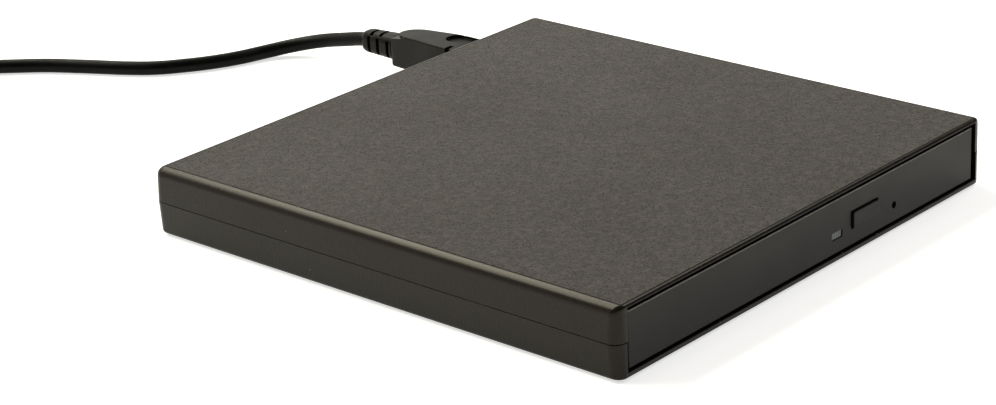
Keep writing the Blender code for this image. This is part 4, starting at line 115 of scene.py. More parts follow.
# The light's window in mm. Each station is its place along y, half its width below and above, its
# lowest and highest level and its corner's radius, as in all tables of stations here.
WINDOW_X = 9.7
WINDOW_STATIONS = (
    (-71.35, 1.97, 1.97, 5.93, 7.57, 0.2),
    (-71.25, 2.07, 2.07, 5.83, 7.67, 0.2),
    (-69.75, 2.07, 2.07, 5.83, 7.67, 0.2),
    (-69.70, 1.80, 1.80, 6.10, 7.40, 0.2),
    (-66.90, 1.80, 1.80, 6.10, 7.40, 0.2),
)

# The sheet under the mechanism's frame, in mm from the spindle, along the way of the pickup
SHIELD_DEGREES = 225
SHIELD_SHEET = ((13, -15, 3.78), (67, 15, 3.92))
SHIELD_BEAD = ((16, -0.8, 3.90), (64, 0.8, 4.10))
SHIELD_BEADS_ACROSS = (-9, 9)

# The plug at the case, in mm behind its front and across from its middle, over the floor. The nose
# is in mm over the middle of the port.
PLUG_STATIONS = (
    (0.0, 5.2, 5.2, 4.4, 13.5, 0.5),
    (0.3, 5.6, 5.6, 4.1, 13.85, 0.5),
    (0.7, 5.7, 5.7, 3.9, 13.95, 0.5),
    (8.0, 5.7, 5.8, 3.85, 13.95, 0.5),
    (10.0, 5.65, 5.8, 3.85, 13.95, 0.5),
    (12.0, 5.5, 5.7, 3.85, 13.9, 0.5),
    (14.0, 5.3, 5.55, 3.85, 13.9, 0.5),
    (16.0, 5.1, 5.3, 3.85, 13.85, 0.5),
    (18.0, 4.85, 5.05, 3.85, 13.8, 0.5),
    (20.0, 4.65, 4.8, 3.85, 13.75, 0.5),
    (22.0, 4.45, 4.6, 3.85, 13.7, 0.5),
    (24.0, 4.25, 4.4, 3.85, 13.6, 0.5),
    (26.0, 4.1, 4.25, 3.85, 13.5, 0.5),
    (28.0, 3.95, 4.1, 3.85, 13.4, 0.5),
    (29.8, 3.85, 3.95, 3.9, 13.2, 0.5),
    (30.3, 3.7, 3.8, 4.0, 13.1, 0.5),
    (30.55, 3.4, 3.5, 4.3, 12.9, 0.5),
)
PLUG_CUT_TOP = 15.0
ARCH_CENTRE = (2.4, 10.7)
ARCH_RADIUS = 3.2
ARCH_FRONT = -1.0
ARCH_FLOOR = 13.1
ARCH_STEPS = 32
NOTCH = ((-7.0, 6.6, 11.0), (-3.3, 8.0, PLUG_CUT_TOP))
PLATE_END = (-0.2, 20.7)
PLATE_HALF_WIDTH = 4.6
PLATE_ROUND = 8.5
PLATE_STEPS = 24
LEDGE_HALF_WIDTH = 8.0
LEDGE_BACK = 37.7
LEDGE_FLOOR = 13.6
LEDGE_SLOPE = 0.17
NOSE_ENDS = (-6.0, 0.1)
NOSE_SECTION = (3.15, 3.15, -1.25, 1.25, 0.5)
NOSE_HOLLOW_ENDS = (-7.3, -0.3)
NOSE_HOLLOW_SECTION = (2.65, 2.65, -0.75, 0.75, 0.3)

# The plug's strain relief in mm, with pairs for its front and its rear end
RELIEF_LENGTH = 12.6
RELIEF_HALF_WIDTH = (3.4, 2.8)
RELIEF_SINK = (0.15, -0.15)
RELIEF_RISE = (0.45, 0.50)
RELIEF_CORNER = (2.4, 2.0)
# Share of the length, and how much narrower it is there
RELIEF_SHRINKS = ((0, 0.25), (0.02, 0), (0.45, 0), (0.86, 0), (0.94, 0.2), (1, 0.65))
RELIEF_SLOT_HALF = (2.45, 0.6)
RELIEF_SLOT_LEVELS = (1.8, 4.5)
RELIEF_SLOTS_ALONG = ((4.9, 8.4), (1.6, 5.5, 9.0))

# The plug at the far end, in mm from its rear. Its metal end is in mm from the moulding's face.
FAR_PLUG_STATIONS = (
    (0.0, 2.3, 2.3, -2.3, 2.3, 0.9),
    (0.4, 2.6, 2.6, -2.6, 2.6, 1.0),
    (8.1, 3.05, 3.05, -3.05, 3.05, 1.2),
    (8.8, 4.4, 4.4, -3.2, 3.2, 1.3),
    (9.4, 6.0, 6.0, -3.5, 3.5, 1.5),
    (10.6, 7.2, 7.2, -3.85, 3.85, 1.6),
    (12.0, 7.9, 7.9, -3.95, 3.95, 1.6),
    (26.4, 7.9, 7.9, -3.95, 3.95, 1.6),
    (26.8, 7.7, 7.7, -3.75, 3.75, 1.5),
    (27.0, 7.4, 7.4, -3.45, 3.45, 1.3),
)
GRIPS_ALONG = (15.0, 17.0, 19.0, 21.0, 23.0)
GRIP_DEPTHS = (7.45, 8.9)
GRIP_HALF_WIDTH = 0.45
GRIP_HALF_HEIGHT = 2.6
TAIL_SLOTS_ALONG = (2.0, 4.2, 6.4)
TAIL_SLOT_LEVELS = (2.2, 4.0)
TAIL_SLOT_HALF = (1.5, 0.4)
MOUTH_Y = 27.3
SHELL_ENDS = (0.0, 18.8)
SHELL_SECTION = (6.0, 6.0, -2.25, 2.25, 0.55)
SHELL_HOLLOW_ENDS = (9.8, 20.0)
SHELL_HOLLOW_SECTION = (5.6, 5.6, -1.85, 1.85, 0.3)
SHELL_WINDOWS_X = (-2.5, 2.5)
SHELL_WINDOW_HALF_WIDTH = 1.15
SHELL_WINDOW_ENDS = (11.4, 13.9)
SHELL_WINDOW_LEVELS = (1.5, 3.0)
INSERT = ((-5.3, 10.1, -0.05), (5.3, 18.2, 1.55))
CONTACT_COUNT = 4
CONTACTS_SPREAD = 7.0
CONTACT = ((-0.5, 10.4, -0.16), (0.5, 17.6, -0.06))

# The lead, as in the solid model, in metres
CABLE_RADIUS = 0.002
CABLE_START_Y = 0.1160
CABLE_STEP = 0.008
CABLE_BEND_STEPS = 6
CABLE_ROUND_STEPS = 5
CABLE_LENGTH_STEPS = 4
CURVE_TICKS = 24
COIL_TURNS = 3.25
COIL_OUTER_RADIUS = 0.0245
COIL_PITCH = 0.0045
COIL_POINTS_A_TURN = 24
COIL_CENTRE = (-0.0531, 0.2087)
COIL_START_DEGREES = 38.3
COIL_LEAD = 0.006
COIL_TAIL = 0.026
COIL_CLIMB_TURNS = 0.5
FAR_PLUG_HEIGHT = 0.0079
GAP = 0.0003
CABLE_ROUTE = (
    (0.0490, 0.1210, 0.00725),
    (0.0490, 0.1240, 0.00665),
    (0.0488, 0.1275, 0.0060),
    (0.0483, 0.1310, 0.0053),
    (0.0474, 0.1343, 0.00455),
    (0.0459, 0.1375, 0.00385),
    (0.0438, 0.1404, 0.0032),
    (0.0410, 0.1430, 0.00265),
    (0.0388, 0.1447, 0.0023),
    (0.0357, 0.1463, 0.0020),
    (0.0305, 0.1480, 0.0020),
    (0.0249, 0.1504, 0.0020),
    (0.0201, 0.1535, 0.0020),
    (0.0154, 0.1568, 0.0020),
    (0.0110, 0.1605, 0.0020),
    (0.0074, 0.1649, 0.0020),
    (0.0043, 0.1699, 0.0020),
    (0.0015, 0.1753, 0.0020),
    (-0.0014, 0.1807, 0.0020),
    (-0.0042, 0.1860, 0.0020),
    (-0.0074, 0.1911, 0.0020),
    (-0.0110, 0.1957, 0.0020),
    (-0.0146, 0.2002, 0.0020),
)


# Camera and light

def set_camera():
    azimuth = math.radians(CAMERA_AZIMUTH)
    elevation = math.radians(CAMERA_ELEVATION)
    back = Vector(
        (
            math.sin(azimuth) * math.cos(elevation),
            -math.cos(azimuth) * math.cos(elevation),
            math.sin(elevation),
        )
    )
    right = Vector((0, 0, 1)).cross(back).normalized()
    up = back.cross(right)
    roll = Matrix.Rotation(math.radians(CAMERA_ROLL), 3, "Z")
    turn = Matrix((right, up, back)).transposed() @ roll
    data = bpy.data.cameras.new("camera")
    data.sensor_width = SENSOR_WIDTH
    data.lens = CAMERA_LENS
    data.clip_start, data.clip_end = CAMERA_CLIP
    camera = bpy.data.objects.new("camera", data)
    camera.matrix_world = Matrix.Translation(CAMERA_PLACE) @ turn.to_4x4()
    bpy.context.scene.collection.objects.link(camera)
    bpy.context.scene.camera = camera


class Shading:
    """The nodes of a world or a material, joined up in small steps."""

    def __init__(self, owner):
        owner.use_nodes = True
        self.nodes = owner.node_tree.nodes
        self.links = owner.node_tree.links

    def feed(self, socket, value):
        if isinstance(value, bpy.types.NodeSocket):
            self.links.new(value, socket)
        else:
            socket.default_value = value

    def combine(self, kind, first, second=0.0):
        node = self.nodes.new("ShaderNodeMath")
        node.operation = kind
        self.feed(node.inputs[0], first)
        self.feed(node.inputs[1], second)
        return node.outputs[0]

    def both(self, first, second):
        return self.combine("MULTIPLY", first, second)

    def dot(self, first, second):
        node = self.nodes.new("ShaderNodeVectorMath")
        node.operation = "DOT_PRODUCT"
        self.feed(node.inputs[0], first)
        self.feed(node.inputs[1], second)
        return node.outputs["Value"]

    def span(self, value, low, high, start=0.0, end=1.0, kind="LINEAR"):
        node = self.nodes.new("ShaderNodeMapRange")
        node.interpolation_type = kind
        node.inputs["From Min"].default_value = low
        node.inputs["From Max"].default_value = high
        node.inputs["To Min"].default_value = start
        node.inputs["To Max"].default_value = end
        self.links.new(value, node.inputs["Value"])
        return node.outputs["Result"]

    def mix(self, share, first, second):
        node = self.nodes.new("ShaderNodeMix")
        node.data_type = "RGBA"
        self.feed(node.inputs[0], share)
        self.feed(node.inputs[6], first)
        self.feed(node.inputs[7], second)
        return node.outputs[2]

    # One for rays that see a thing, also mirrored or through glass, nought for rays that light others.
    def seen(self):
        paths = self.nodes.new("ShaderNodeLightPath")
        share = paths.outputs["Is Camera Ray"]
        for ray in ("Is Glossy Ray", "Is Transmission Ray"):
            share = self.combine("MAXIMUM", share, paths.outputs[ray])
        return share


def set_world():
    world = bpy.data.worlds.new("studio")
    bpy.context.scene.world = world
    studio = Shading(world)
    strength = studio.span(studio.seen(), 0.0, 1.0, WORLD_STRENGTH, 1.0)
    direction = studio.nodes.new("ShaderNodeTexCoord").outputs["Generated"]
    towards = studio.dot(direction, DIM_SIDE_TOWARDS)
    dim = studio.span(towards, *DIM_SIDE_SPAN, 1.0, DIM_SIDE_SHARE, kind="SMOOTHSTEP")
    in_view = studio.nodes.new("ShaderNodeLightPath").outputs["Is Camera Ray"]
    share = studio.combine("MAXIMUM", dim, in_view)
    background = studio.nodes["Background"]
    studio.feed(background.inputs["Strength"], studio.both(strength, share))
    studio.feed(background.inputs["Color"], studio.mix(in_view, WORLD_COLOUR, WHITE))


def set_softboxes():
    for name, direction, size, power, colour in SOFTBOXES:
        data = bpy.data.lights.new(name, "AREA")
        data.shape = "RECTANGLE"
        data.size, data.size_y = size
        data.energy = power
        data.color = colour
        lamp = bpy.data.objects.new(name, data)
        towards = Vector(direction).normalized()
        lamp.location = towards * SOFTBOX_DISTANCE
        lamp.rotation_euler = towards.to_track_quat("Z", "Y").to_euler()
        bpy.context.scene.collection.objects.link(lamp)


def set_floor():
    mesh = bpy.data.meshes.new("floor")
    half = FLOOR_SIZE / 2
    corners = [(-half, -half, 0), (half, -half, 0), (half, half, 0), (-half, half, 0)]
    mesh.from_pydata(corners, [], [(0, 1, 2, 3)])
    floor = bpy.data.objects.new("floor", mesh)
    bpy.context.scene.collection.objects.link(floor)
    material = bpy.data.materials.new("paper")
    paper = Shading(material)
    shader = paper.nodes["Principled BSDF"]
    shader.inputs["Roughness"].default_value = 1.0
    shader.inputs["Specular IOR Level"].default_value = 0.0
    shader.inputs["Emission Color"].default_value = FLOOR_GLOW_COLOUR
    seen = paper.seen()
    paper.feed(shader.inputs["Base Color"], paper.mix(seen, FLOOR_LIT_COLOUR, FLOOR_SEEN_COLOUR))
    paper.feed(shader.inputs["Emission Strength"], paper.both(seen, FLOOR_GLOW))
    mesh.materials.append(material)


# Surfaces

class Surface(Shading):
    """A Principled material built up in layers over object coordinates in metres."""

    def __init__(self, name, colour, roughness, metallic=0.0, specular=0.5):
        self.material = bpy.data.materials.new("look_" + name)
        super().__init__(self.material)
        self.shader = self.nodes["Principled BSDF"]
        self.constant("Metallic", metallic)
        self.constant("Specular IOR Level", specular)
        self.colour = (*colour, 1.0)
        self.roughness = roughness
        self.normal = None
        self.place = self.nodes.new("ShaderNodeTexCoord").outputs["Object"]

    def constant(self, name, value):
        self.shader.inputs[name].default_value = value

    def axes(self):
        split = self.nodes.new("ShaderNodeSeparateXYZ")
        self.links.new(self.place, split.inputs["Vector"])
        return split.outputs["X"], split.outputs["Y"], split.outputs["Z"]

    def put_on(self, texture, stretch):
        place = self.place
        if stretch:
            mapping = self.nodes.new("ShaderNodeMapping")
            mapping.inputs["Scale"].default_value = stretch
            self.links.new(place, mapping.inputs["Vector"])
            place = mapping.outputs["Vector"]
        self.links.new(place, texture.inputs["Vector"])

    def noise(self, scale, detail=2.0, stretch=None, twist=0.0):
        texture = self.nodes.new("ShaderNodeTexNoise")
        texture.inputs["Scale"].default_value = scale
        texture.inputs["Detail"].default_value = detail
        texture.inputs["Distortion"].default_value = twist
        self.put_on(texture, stretch)
        return texture.outputs["Fac"]

    def cells(self, scale, feature="F1", stretch=None, output="Distance"):
        texture = self.nodes.new("ShaderNodeTexVoronoi")
        texture.feature = feature
        texture.inputs["Scale"].default_value = scale
        self.put_on(texture, stretch)
        return texture.outputs[output]

    def wave(self, scale, axis="X", twist=0.0):
        texture = self.nodes.new("ShaderNodeTexWave")
        texture.bands_direction = axis
        texture.inputs["Scale"].default_value = scale
        texture.inputs["Distortion"].default_value = twist
        self.put_on(texture, None)
        return texture.outputs["Fac"]

    def span_mm(self, value, ends):
        return self.span(value, ends[0] * MM, ends[1] * MM)

    def tint(self, colour, share):
        self.colour = self.mix(share, self.colour, (*colour, 1.0))

    def roughen(self, value, share):
        node = self.nodes.new("ShaderNodeMix")
        self.feed(node.inputs[0], share)
        self.feed(node.inputs[2], self.roughness)
        self.feed(node.inputs[3], value)
        self.roughness = node.outputs[0]

    # Another colour where a noise rises from one level to another, and another roughness likewise.
    def mottle(self, colour, scale, detail, low, high, most=1.0, stretch=None, twist=0.0):
        share = self.span(self.noise(scale, detail, stretch, twist), low, high, 0.0, most)
        self.tint(colour, share)

    def dull(self, roughness, scale, detail, low, high, stretch=None):
        self.roughen(roughness, self.span(self.noise(scale, detail, stretch), low, high))

    def emboss(self, height, depth, strength=1.0):
        node = self.nodes.new("ShaderNodeBump")
        node.inputs["Strength"].default_value = strength
        node.inputs["Distance"].default_value = depth * MM
        self.links.new(height, node.inputs["Height"])
        if self.normal is not None:
            self.links.new(self.normal, node.inputs["Normal"])
        self.normal = node.outputs["Normal"]

    def rounded_normal(self, radius):
        bevel = self.nodes.new("ShaderNodeBevel")
        bevel.samples = BEVEL_SAMPLES
        bevel.inputs["Radius"].default_value = radius * MM
        return bevel.outputs["Normal"]

    def soften(self, radius):
        self.normal = self.rounded_normal(radius)

    # One along edges, where the rounded normal leaves the true one, nought on flats.
    def edges(self, radius):
        true_normal = self.nodes.new("ShaderNodeNewGeometry").outputs["Normal"]
        return self.span(self.dot(self.rounded_normal(radius), true_normal), *EDGE_SPAN)

    def done(self):
        self.feed(self.shader.inputs["Base Color"], self.colour)
        self.feed(self.shader.inputs["Roughness"], self.roughness)
        if self.normal is not None:
            self.links.new(self.normal, self.shader.inputs["Normal"])
        return self.material


# Shares of the crease where the top's grain ends, which is painted dark as shade, of the flat top and
# of the round edge.
def crease(look):
    x, y, z = look.axes()
    side = look.combine("SUBTRACT", look.combine("ABSOLUTE", x), TOP_HALF_WIDTH * MM)
    back = look.combine("SUBTRACT", y, TOP_BACK_Y * MM)
    front = look.combine("SUBTRACT", TOP_FRONT_Y * MM, y)
    out = look.combine("MAXIMUM", look.combine("MAXIMUM", side, back), front)
    off_middle = look.combine("ABSOLUTE", look.combine("ADD", out, -CREASE_MIDDLE * MM))
    high = look.span_mm(z, TOP_LEVEL)
    crease_shade = look.both(look.span_mm(off_middle, CREASE_FADE), high)
    top = look.both(look.span_mm(out, TOP_FADE), high)
    beyond = look.span_mm(out, ROUNDING_FADE)
    rounding = look.both(beyond, look.span_mm(z, ROUNDING_LEVEL))
    return crease_shade, top, rounding


def case_plastic():
    look = Surface("case_plastic", (0.0070, 0.0056, 0.0042), 0.33, specular=0.22)
    look.constant("Specular Tint", (1.0, 0.92, 0.80, 1))
    look.soften(0.15)
    crease_shade, top, rounding = crease(look)
    grain = look.noise(1500, 3)
    patches = look.noise(650, 2)
    pits = look.both(top, look.span(look.cells(1500), 0.34, 0.14))
    pale_grain = look.both(look.span(grain, 0.42, 0.72), look.span(top, 0, 1, 0.17, 1))
    look.tint((0.030, 0.0243, 0.0190), pale_grain)
    look.tint((0.048, 0.0385, 0.0300), look.both(top, look.span(patches, 0.44, 0.72)))
    look.tint((0.002, 0.002, 0.002), pits)
    look.mottle((0.20, 0.19, 0.16), 900, 1, 0.80, 0.83)
    # Painted shade: a dark line along the crease, as if shade fell in it.
    look.tint((0.003, 0.003, 0.002), crease_shade)
    look.dull(0.39, 40, 3, 0.35, 0.75)
    look.roughen(0.31, rounding)
    look.roughen(0.80, look.combine("MAXIMUM", pits, crease_shade))
    look.emboss(look.both(grain, look.span(rounding, 0, 1, 1, 0.4)), 0.055)
    look.emboss(look.both(patches, top), 0.065)
    return look.done()


# Painted highlight along the top of the bezel's face.
def rim_highlight(look):
    low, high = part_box("front_bezel")
    y, z = look.axes()[1:]
    face = look.span(y, *(low[1] + depth * MM for depth in RIM_DEPTH))
    rim = look.span(z, *(high[2] + drop * MM for drop in RIM_DROP))
    return look.both(face, rim)


def bezel_plastic():
    look = Surface("bezel_plastic", (0.0036, 0.0033, 0.0030), 0.34, specular=0.175)
    look.constant("Specular Tint", (1.0, 0.95, 0.88, 1))
    look.soften(0.22)
    grain = look.noise(2400, 2)
    look.tint((0.008, 0.0075, 0.007), look.span(grain, 0.45, 0.75))
    look.mottle((0.13, 0.12, 0.11), 1100, 1, 0.81, 0.84)
    look.dull(0.42, 70, 3, 0.4, 0.7)
    look.roughen(0.24, look.edges(0.25))
    # Painted highlight: a pale band along the bezel's top rim.
    look.tint((0.42, 0.42, 0.38), rim_highlight(look))
    look.emboss(grain, 0.020)
    return look.done()


def tray_plastic():
    look = Surface("tray_plastic", (0.026, 0.026, 0.027), 0.44, specular=0.45)
    look.soften(0.15)
    grain = look.noise(2400, 3)
    look.tint((0.038, 0.038, 0.039), look.span(grain, 0.45, 0.75))
    look.mottle((0.11, 0.11, 0.11), 60, 4, 0.66, 0.72, stretch=(1, 14, 1), twist=0.6)
    look.dull(0.58, 45, 3, 0.4, 0.7)
    look.roughen(0.30, look.edges(0.3))
    look.emboss(grain, 0.012)
    return look.done()


def foot_rubber():
    look = Surface("foot_rubber", (0.030, 0.030, 0.031), 0.82, specular=0.3)
    look.soften(0.2)
    grain = look.noise(1500, 4)
    look.tint((0.052, 0.051, 0.050), look.span(grain, 0.4, 0.75))
    look.mottle((0.11, 0.105, 0.10), 420, 2, 0.70, 0.80)
    look.dull(0.95, 200, 2, 0.4, 0.7)
    look.emboss(grain, 0.035)
    return look.done()


def screw_steel():
    look = Surface("screw_steel", (0.20, 0.20, 0.21), 0.34, metallic=1.0)
    look.soften(0.1)
    look.mottle((0.32, 0.32, 0.33), 900, 3, 0.45, 0.7)
    look.tint((0.62, 0.61, 0.60), look.edges(0.12))
    look.dull(0.5, 1400, 2, 0.4, 0.7)
    look.emboss(look.noise(2200, 2), 0.008)
    return look.done()


def sheet_steel():
    look = Surface("sheet_steel", (0.52, 0.53, 0.54), 0.34, metallic=1.0)
    look.soften(0.12)
    look.tint((0.64, 0.65, 0.66), look.cells(170, output="Color"))
    look.mottle((0.40, 0.40, 0.40), 40, 4, 0.60, 0.74, 0.5, stretch=(1, 60, 1))
    look.dull(0.52, 130, 4, 0.35, 0.7)
    look.emboss(look.noise(300, 3, (1, 30, 1)), 0.006)
    return look.done()


def guide_plastic():
    look = Surface("guide_plastic", (0.70, 0.69, 0.64), 0.40, specular=0.45)
    look.soften(0.12)
    look.mottle((0.76, 0.75, 0.71), 90, 3, 0.4, 0.7)
    look.mottle((0.55, 0.53, 0.48), 500, 3, 0.66, 0.80, 0.6)
    look.dull(0.54, 240, 2, 0.4, 0.7)
    look.emboss(look.noise(1600, 2), 0.010)
    return look.done()


def bright_steel():
    look = Surface("bright_steel", (0.70, 0.70, 0.71), 0.20, metallic=1.0)
    look.soften(0.08)
    look.mottle((0.80, 0.80, 0.81), 260, 3, 0.4, 0.7)
    look.dull(0.36, 900, 3, 0.45, 0.75, stretch=(1, 20, 20))
    look.emboss(look.noise(1800, 2, (1, 20, 20)), 0.003)
    return look.done()


def light_pipe():
    look = Surface("light_pipe", (0.12, 0.135, 0.15), 0.26, specular=0.5)
    look.soften(0.10)
    look.tint((0.23, 0.265, 0.31), look.span(look.wave(420, "X"), 0.35, 0.95))
    look.mottle((0.10, 0.115, 0.125), 800, 2, 0.5, 0.8)
    look.dull(0.42, 1500, 2, 0.4, 0.7)
    look.emboss(look.wave(420, "X"), 0.02)
    return look.done()


def cast_frame():
    look = Surface("cast_frame", (0.20, 0.20, 0.21), 0.50, metallic=0.75)
    look.soften(0.15)
    grain = look.noise(1300, 4)
    look.tint((0.30, 0.30, 0.31), look.span(grain, 0.4, 0.75))
    look.tint((0.42, 0.42, 0.43), look.edges(0.25))
    look.dull(0.66, 300, 3, 0.4, 0.7)
    look.emboss(grain, 0.03)
    return look.done()


def copper_winding():
    look = Surface("copper_winding", (0.62, 0.25, 0.08), 0.30, metallic=1.0)
    turns = look.wave(1500, "Z", 0.4)
    look.tint((0.30, 0.10, 0.03), look.span(turns, 0.5, 0.05))
    look.mottle((0.75, 0.38, 0.15), 400, 2, 0.5, 0.75)
    look.dull(0.45, 900, 2, 0.4, 0.7)
    look.emboss(turns, 0.06)
    return look.done()


def connector_plastic():
    look = Surface("connector_plastic", (0.016, 0.016, 0.016), 0.40, specular=0.45)
    look.soften(0.08)
    grain = look.noise(2600, 2)
    look.tint((0.030, 0.030, 0.030), look.span(grain, 0.45, 0.8))
    look.dull(0.55, 500, 2, 0.4, 0.7)
    look.emboss(grain, 0.010)
    return look.done()


def lens_glass():
    look = Surface("lens_glass", (0.42, 0.50, 0.78), 0.04, specular=0.6)
    look.constant("Transmission Weight", 0.85)
    look.constant("IOR", 1.52)
    look.constant("Coat Weight", 0.6)
    look.constant("Coat Tint", (0.55, 0.45, 0.9, 1))
    look.mottle((0.30, 0.36, 0.70), 900, 2, 0.4, 0.7)
    look.dull(0.10, 1800, 2, 0.55, 0.8)
    look.emboss(look.noise(500, 1), 0.002)
    return look.done()


def circuit_board():
    look = Surface("circuit_board", (0.010, 0.085, 0.035), 0.32, specular=0.5)
    look.soften(0.08)
    traces = look.span(look.cells(420, "DISTANCE_TO_EDGE", (1, 2.4, 1)), 0.06, 0.10)
    look.tint((0.020, 0.150, 0.065), traces)
    pads = look.span(look.cells(330), 0.13, 0.10)
    pad_fields = look.span(look.noise(60, 1), 0.52, 0.56)
    look.tint((0.55, 0.47, 0.26), look.both(pads, pad_fields))
    look.mottle((0.006, 0.055, 0.022), 30, 2, 0.45, 0.8)
    look.dull(0.48, 400, 3, 0.4, 0.7)
    look.emboss(traces, 0.03)
    return look.done()


def flex_film():
    look = Surface("flex_film", (0.72, 0.66, 0.48), 0.28, specular=0.5)
    tracks = look.wave(520, "X")
    look.tint((0.50, 0.33, 0.14), look.span(tracks, 0.35, 0.55))
    look.mottle((0.80, 0.78, 0.70), 200, 2, 0.55, 0.8, 0.6)
    look.dull(0.42, 300, 3, 0.4, 0.7)
    look.emboss(tracks, 0.015)
    return look.done()


def cable_sheath():
    look = Surface("cable_sheath", (0.0018, 0.0018, 0.0018), 0.40, specular=0.10)
    grain = look.noise(1800, 3)
    look.tint((0.0040, 0.0040, 0.0038), look.span(grain, 0.45, 0.8))
    look.mottle((0.040, 0.038, 0.035), 700, 1, 0.81, 0.84)
    look.dull(0.54, 160, 3, 0.4, 0.7)
    look.emboss(grain, 0.018)
    look.emboss(look.noise(90, 2), 0.05, 0.5)
    return look.done()


def plug_moulding():
    look = Surface("plug_moulding", (0.0045, 0.0042, 0.0035), 0.34, specular=0.11)
    look.constant("Specular Tint", (1.0, 0.93, 0.82, 1))
    look.soften(0.25)
    grain = look.noise(1500, 3)
    look.tint((0.010, 0.0092, 0.0078), look.span(grain, 0.45, 0.75))
    look.mottle((0.15, 0.14, 0.12), 1000, 1, 0.81, 0.84)
    look.dull(0.42, 120, 3, 0.4, 0.7)
    look.emboss(grain, 0.045)
    return look.done()


def contact_gold():
    look = Surface("contact_gold", (0.85, 0.62, 0.26), 0.22, metallic=1.0)
    look.mottle((0.70, 0.48, 0.18), 700, 3, 0.45, 0.75)
    look.dull(0.38, 1500, 2, 0.4, 0.7)
    look.emboss(look.noise(2500, 2), 0.003)
    return look.done()


LOOKS = {
    "case_plastic": case_plastic,
    "bezel_plastic": bezel_plastic,
    "tray_plastic": tray_plastic,
    "foot_rubber": foot_rubber,
    "screw_steel": screw_steel,
    "sheet_steel": sheet_steel,
    "guide_plastic": guide_plastic,
    "bright_steel": bright_steel,
    "light_pipe": light_pipe,
    "cast_frame": cast_frame,
    "copper_winding": copper_winding,
    "connector_plastic": connector_plastic,
    "lens_glass": lens_glass,
    "circuit_board": circuit_board,
    "flex_film": flex_film,
    "cable_sheath": cable_sheath,
}


# Shapes

# A node group that shades faces smooth and keeps edges over the angle sharp.
def smooth_group():
    group = bpy.data.node_groups.new("smooth_by_angle", "GeometryNodeTree")
    group.interface.new_socket("Geometry", in_out="INPUT", socket_type="NodeSocketGeometry")
    group.interface.new_socket("Geometry", in_out="OUTPUT", socket_type="NodeSocketGeometry")
    nodes = group.nodes
    links = group.links
    start = nodes.new("NodeGroupInput")
    end = nodes.new("NodeGroupOutput")
    strip = nodes.new("GeometryNodeRemoveAttribute")
    strip.inputs["Name"].default_value = "custom_normal"
    faces = nodes.new("GeometryNodeSetShadeSmooth")
    faces.domain = "FACE"
    faces.inputs["Shade Smooth"].default_value = True
    angle = nodes.new("GeometryNodeInputMeshEdgeAngle")
    compare = nodes.new("FunctionNodeCompare")
    compare.data_type = "FLOAT"
    compare.operation = "LESS_EQUAL"
    compare.inputs[1].default_value = math.radians(SMOOTH_DEGREES)
    edges = nodes.new("GeometryNodeSetShadeSmooth")
    edges.domain = "EDGE"
    links.new(start.outputs[0], strip.inputs["Geometry"])
    links.new(strip.outputs["Geometry"], faces.inputs["Geometry"])
    links.new(faces.outputs["Geometry"], edges.inputs["Geometry"])
    links.new(angle.outputs["Unsigned Angle"], compare.inputs[0])
    links.new(compare.outputs[0], edges.inputs["Shade Smooth"])
    links.new(edges.outputs["Geometry"], end.inputs[0])
    return group


def finish_shape(piece, group, weld=False):
    if weld:
        merge = piece.modifiers.new("merge", "WELD")
        merge.merge_threshold = WELD_DISTANCE
    smooth = piece.modifiers.new("smooth", "NODES")
    smooth.node_group = group
    normals = piece.modifiers.new("normals", "WEIGHTED_NORMAL")
    normals.keep_sharp = True


def dress_nodes(group, looks):
    made_for = {entry["node"]: entry["material_slot"] for entry in frame["record"]["subparts"]}
    for name, piece in frame["nodes"].items():
        finish_shape(piece, group, weld=True)
        for slot in piece.material_slots:
            slot.material = looks[made_for[name]]


def add_mesh(name, mesh, look, body="enclosure"):
    piece = bpy.data.objects.new(name, mesh)
    bpy.context.scene.collection.objects.link(piece)
    if look is not None:
        mesh.materials.append(look)
        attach(piece, body)
    return piece


# Closed skin over rings of equal count.
def skin(name, rings):
    mesh = bpy.data.meshes.new(name)
    count = len(rings[0])
    points = [point for ring in rings for point in ring]
    faces = [tuple(range(count))[::-1]]
    for row in range(len(rings) - 1):
        for index in range(count):
            after = (index + 1) % count
            low = row * count
            high = low + count
            faces.append((low + index, low + after, high + after, high + index))
    faces.append(tuple(range((len(rings) - 1) * count, len(rings) * count)))
    mesh.from_pydata([tuple(point) for point in points], [], faces)
    shape = bmesh.new()
    shape.from_mesh(mesh)
    bmesh.ops.recalc_face_normals(shape, faces=shape.faces)
    shape.to_mesh(mesh)
    shape.free()
    return mesh


# Outline of a rectangle with rounded corners, whose top and bottom edges may differ in width.
def round_outline(low_half, high_half, bottom, top, corner):
    outline = []
    corners = (
        (low_half, bottom, 1, -1, -90),
        (high_half, top, 1, 1, 0),
        (-high_half, top, -1, 1, 90),
        (-low_half, bottom, -1, -1, 180),
    )
    for x, z, side, level, start in corners:
        middle_x = x - side * corner
        middle_z = z - level * corner
        for step in range(CORNER_STEPS + 1):
            angle = math.radians(start + 90 * step / CORNER_STEPS)
            point = (middle_x + corner * math.cos(angle), middle_z + corner * math.sin(angle))
            outline.append(point)
    return outline


# Closed form through a table of stations in mm, which runs along y before it is placed.
def loft(name, stations, place):
    rings = []
    for along, *section in stations:
        outline = round_outline(*(size * MM for size in section))
        rings.append([place @ Vector((x, along * MM, z)) for x, z in outline])
    return skin(name, rings)


# The same with one section all along.
def bar(name, ends, section, place):
    return loft(name, [(along, *section) for along in ends], place)


# Value between those at the two ends.
def between(ends, share):
    return ends[0] + (ends[1] - ends[0]) * share


def half_ellipse(centre, across, along, start, end, steps):
    points = []
    for step in range(steps + 1):
        angle = between((start, end), step / steps)
        points.append((centre[0] + across * math.cos(angle), centre[1] + along * math.sin(angle)))
    return points


# Cutter over an outline in mm, open above the plug, whose floor falls by a slope behind one place.
def pit(name, outline, floor, place, slope=0.0, start=0.0):
    low = [(x, y, floor - slope * (y - start)) for x, y in outline]
    high = [(x, y, PLUG_CUT_TOP) for x, y in outline]
    return skin(name, [[place @ (Vector(point) * MM) for point in ring] for ring in (low, high)])


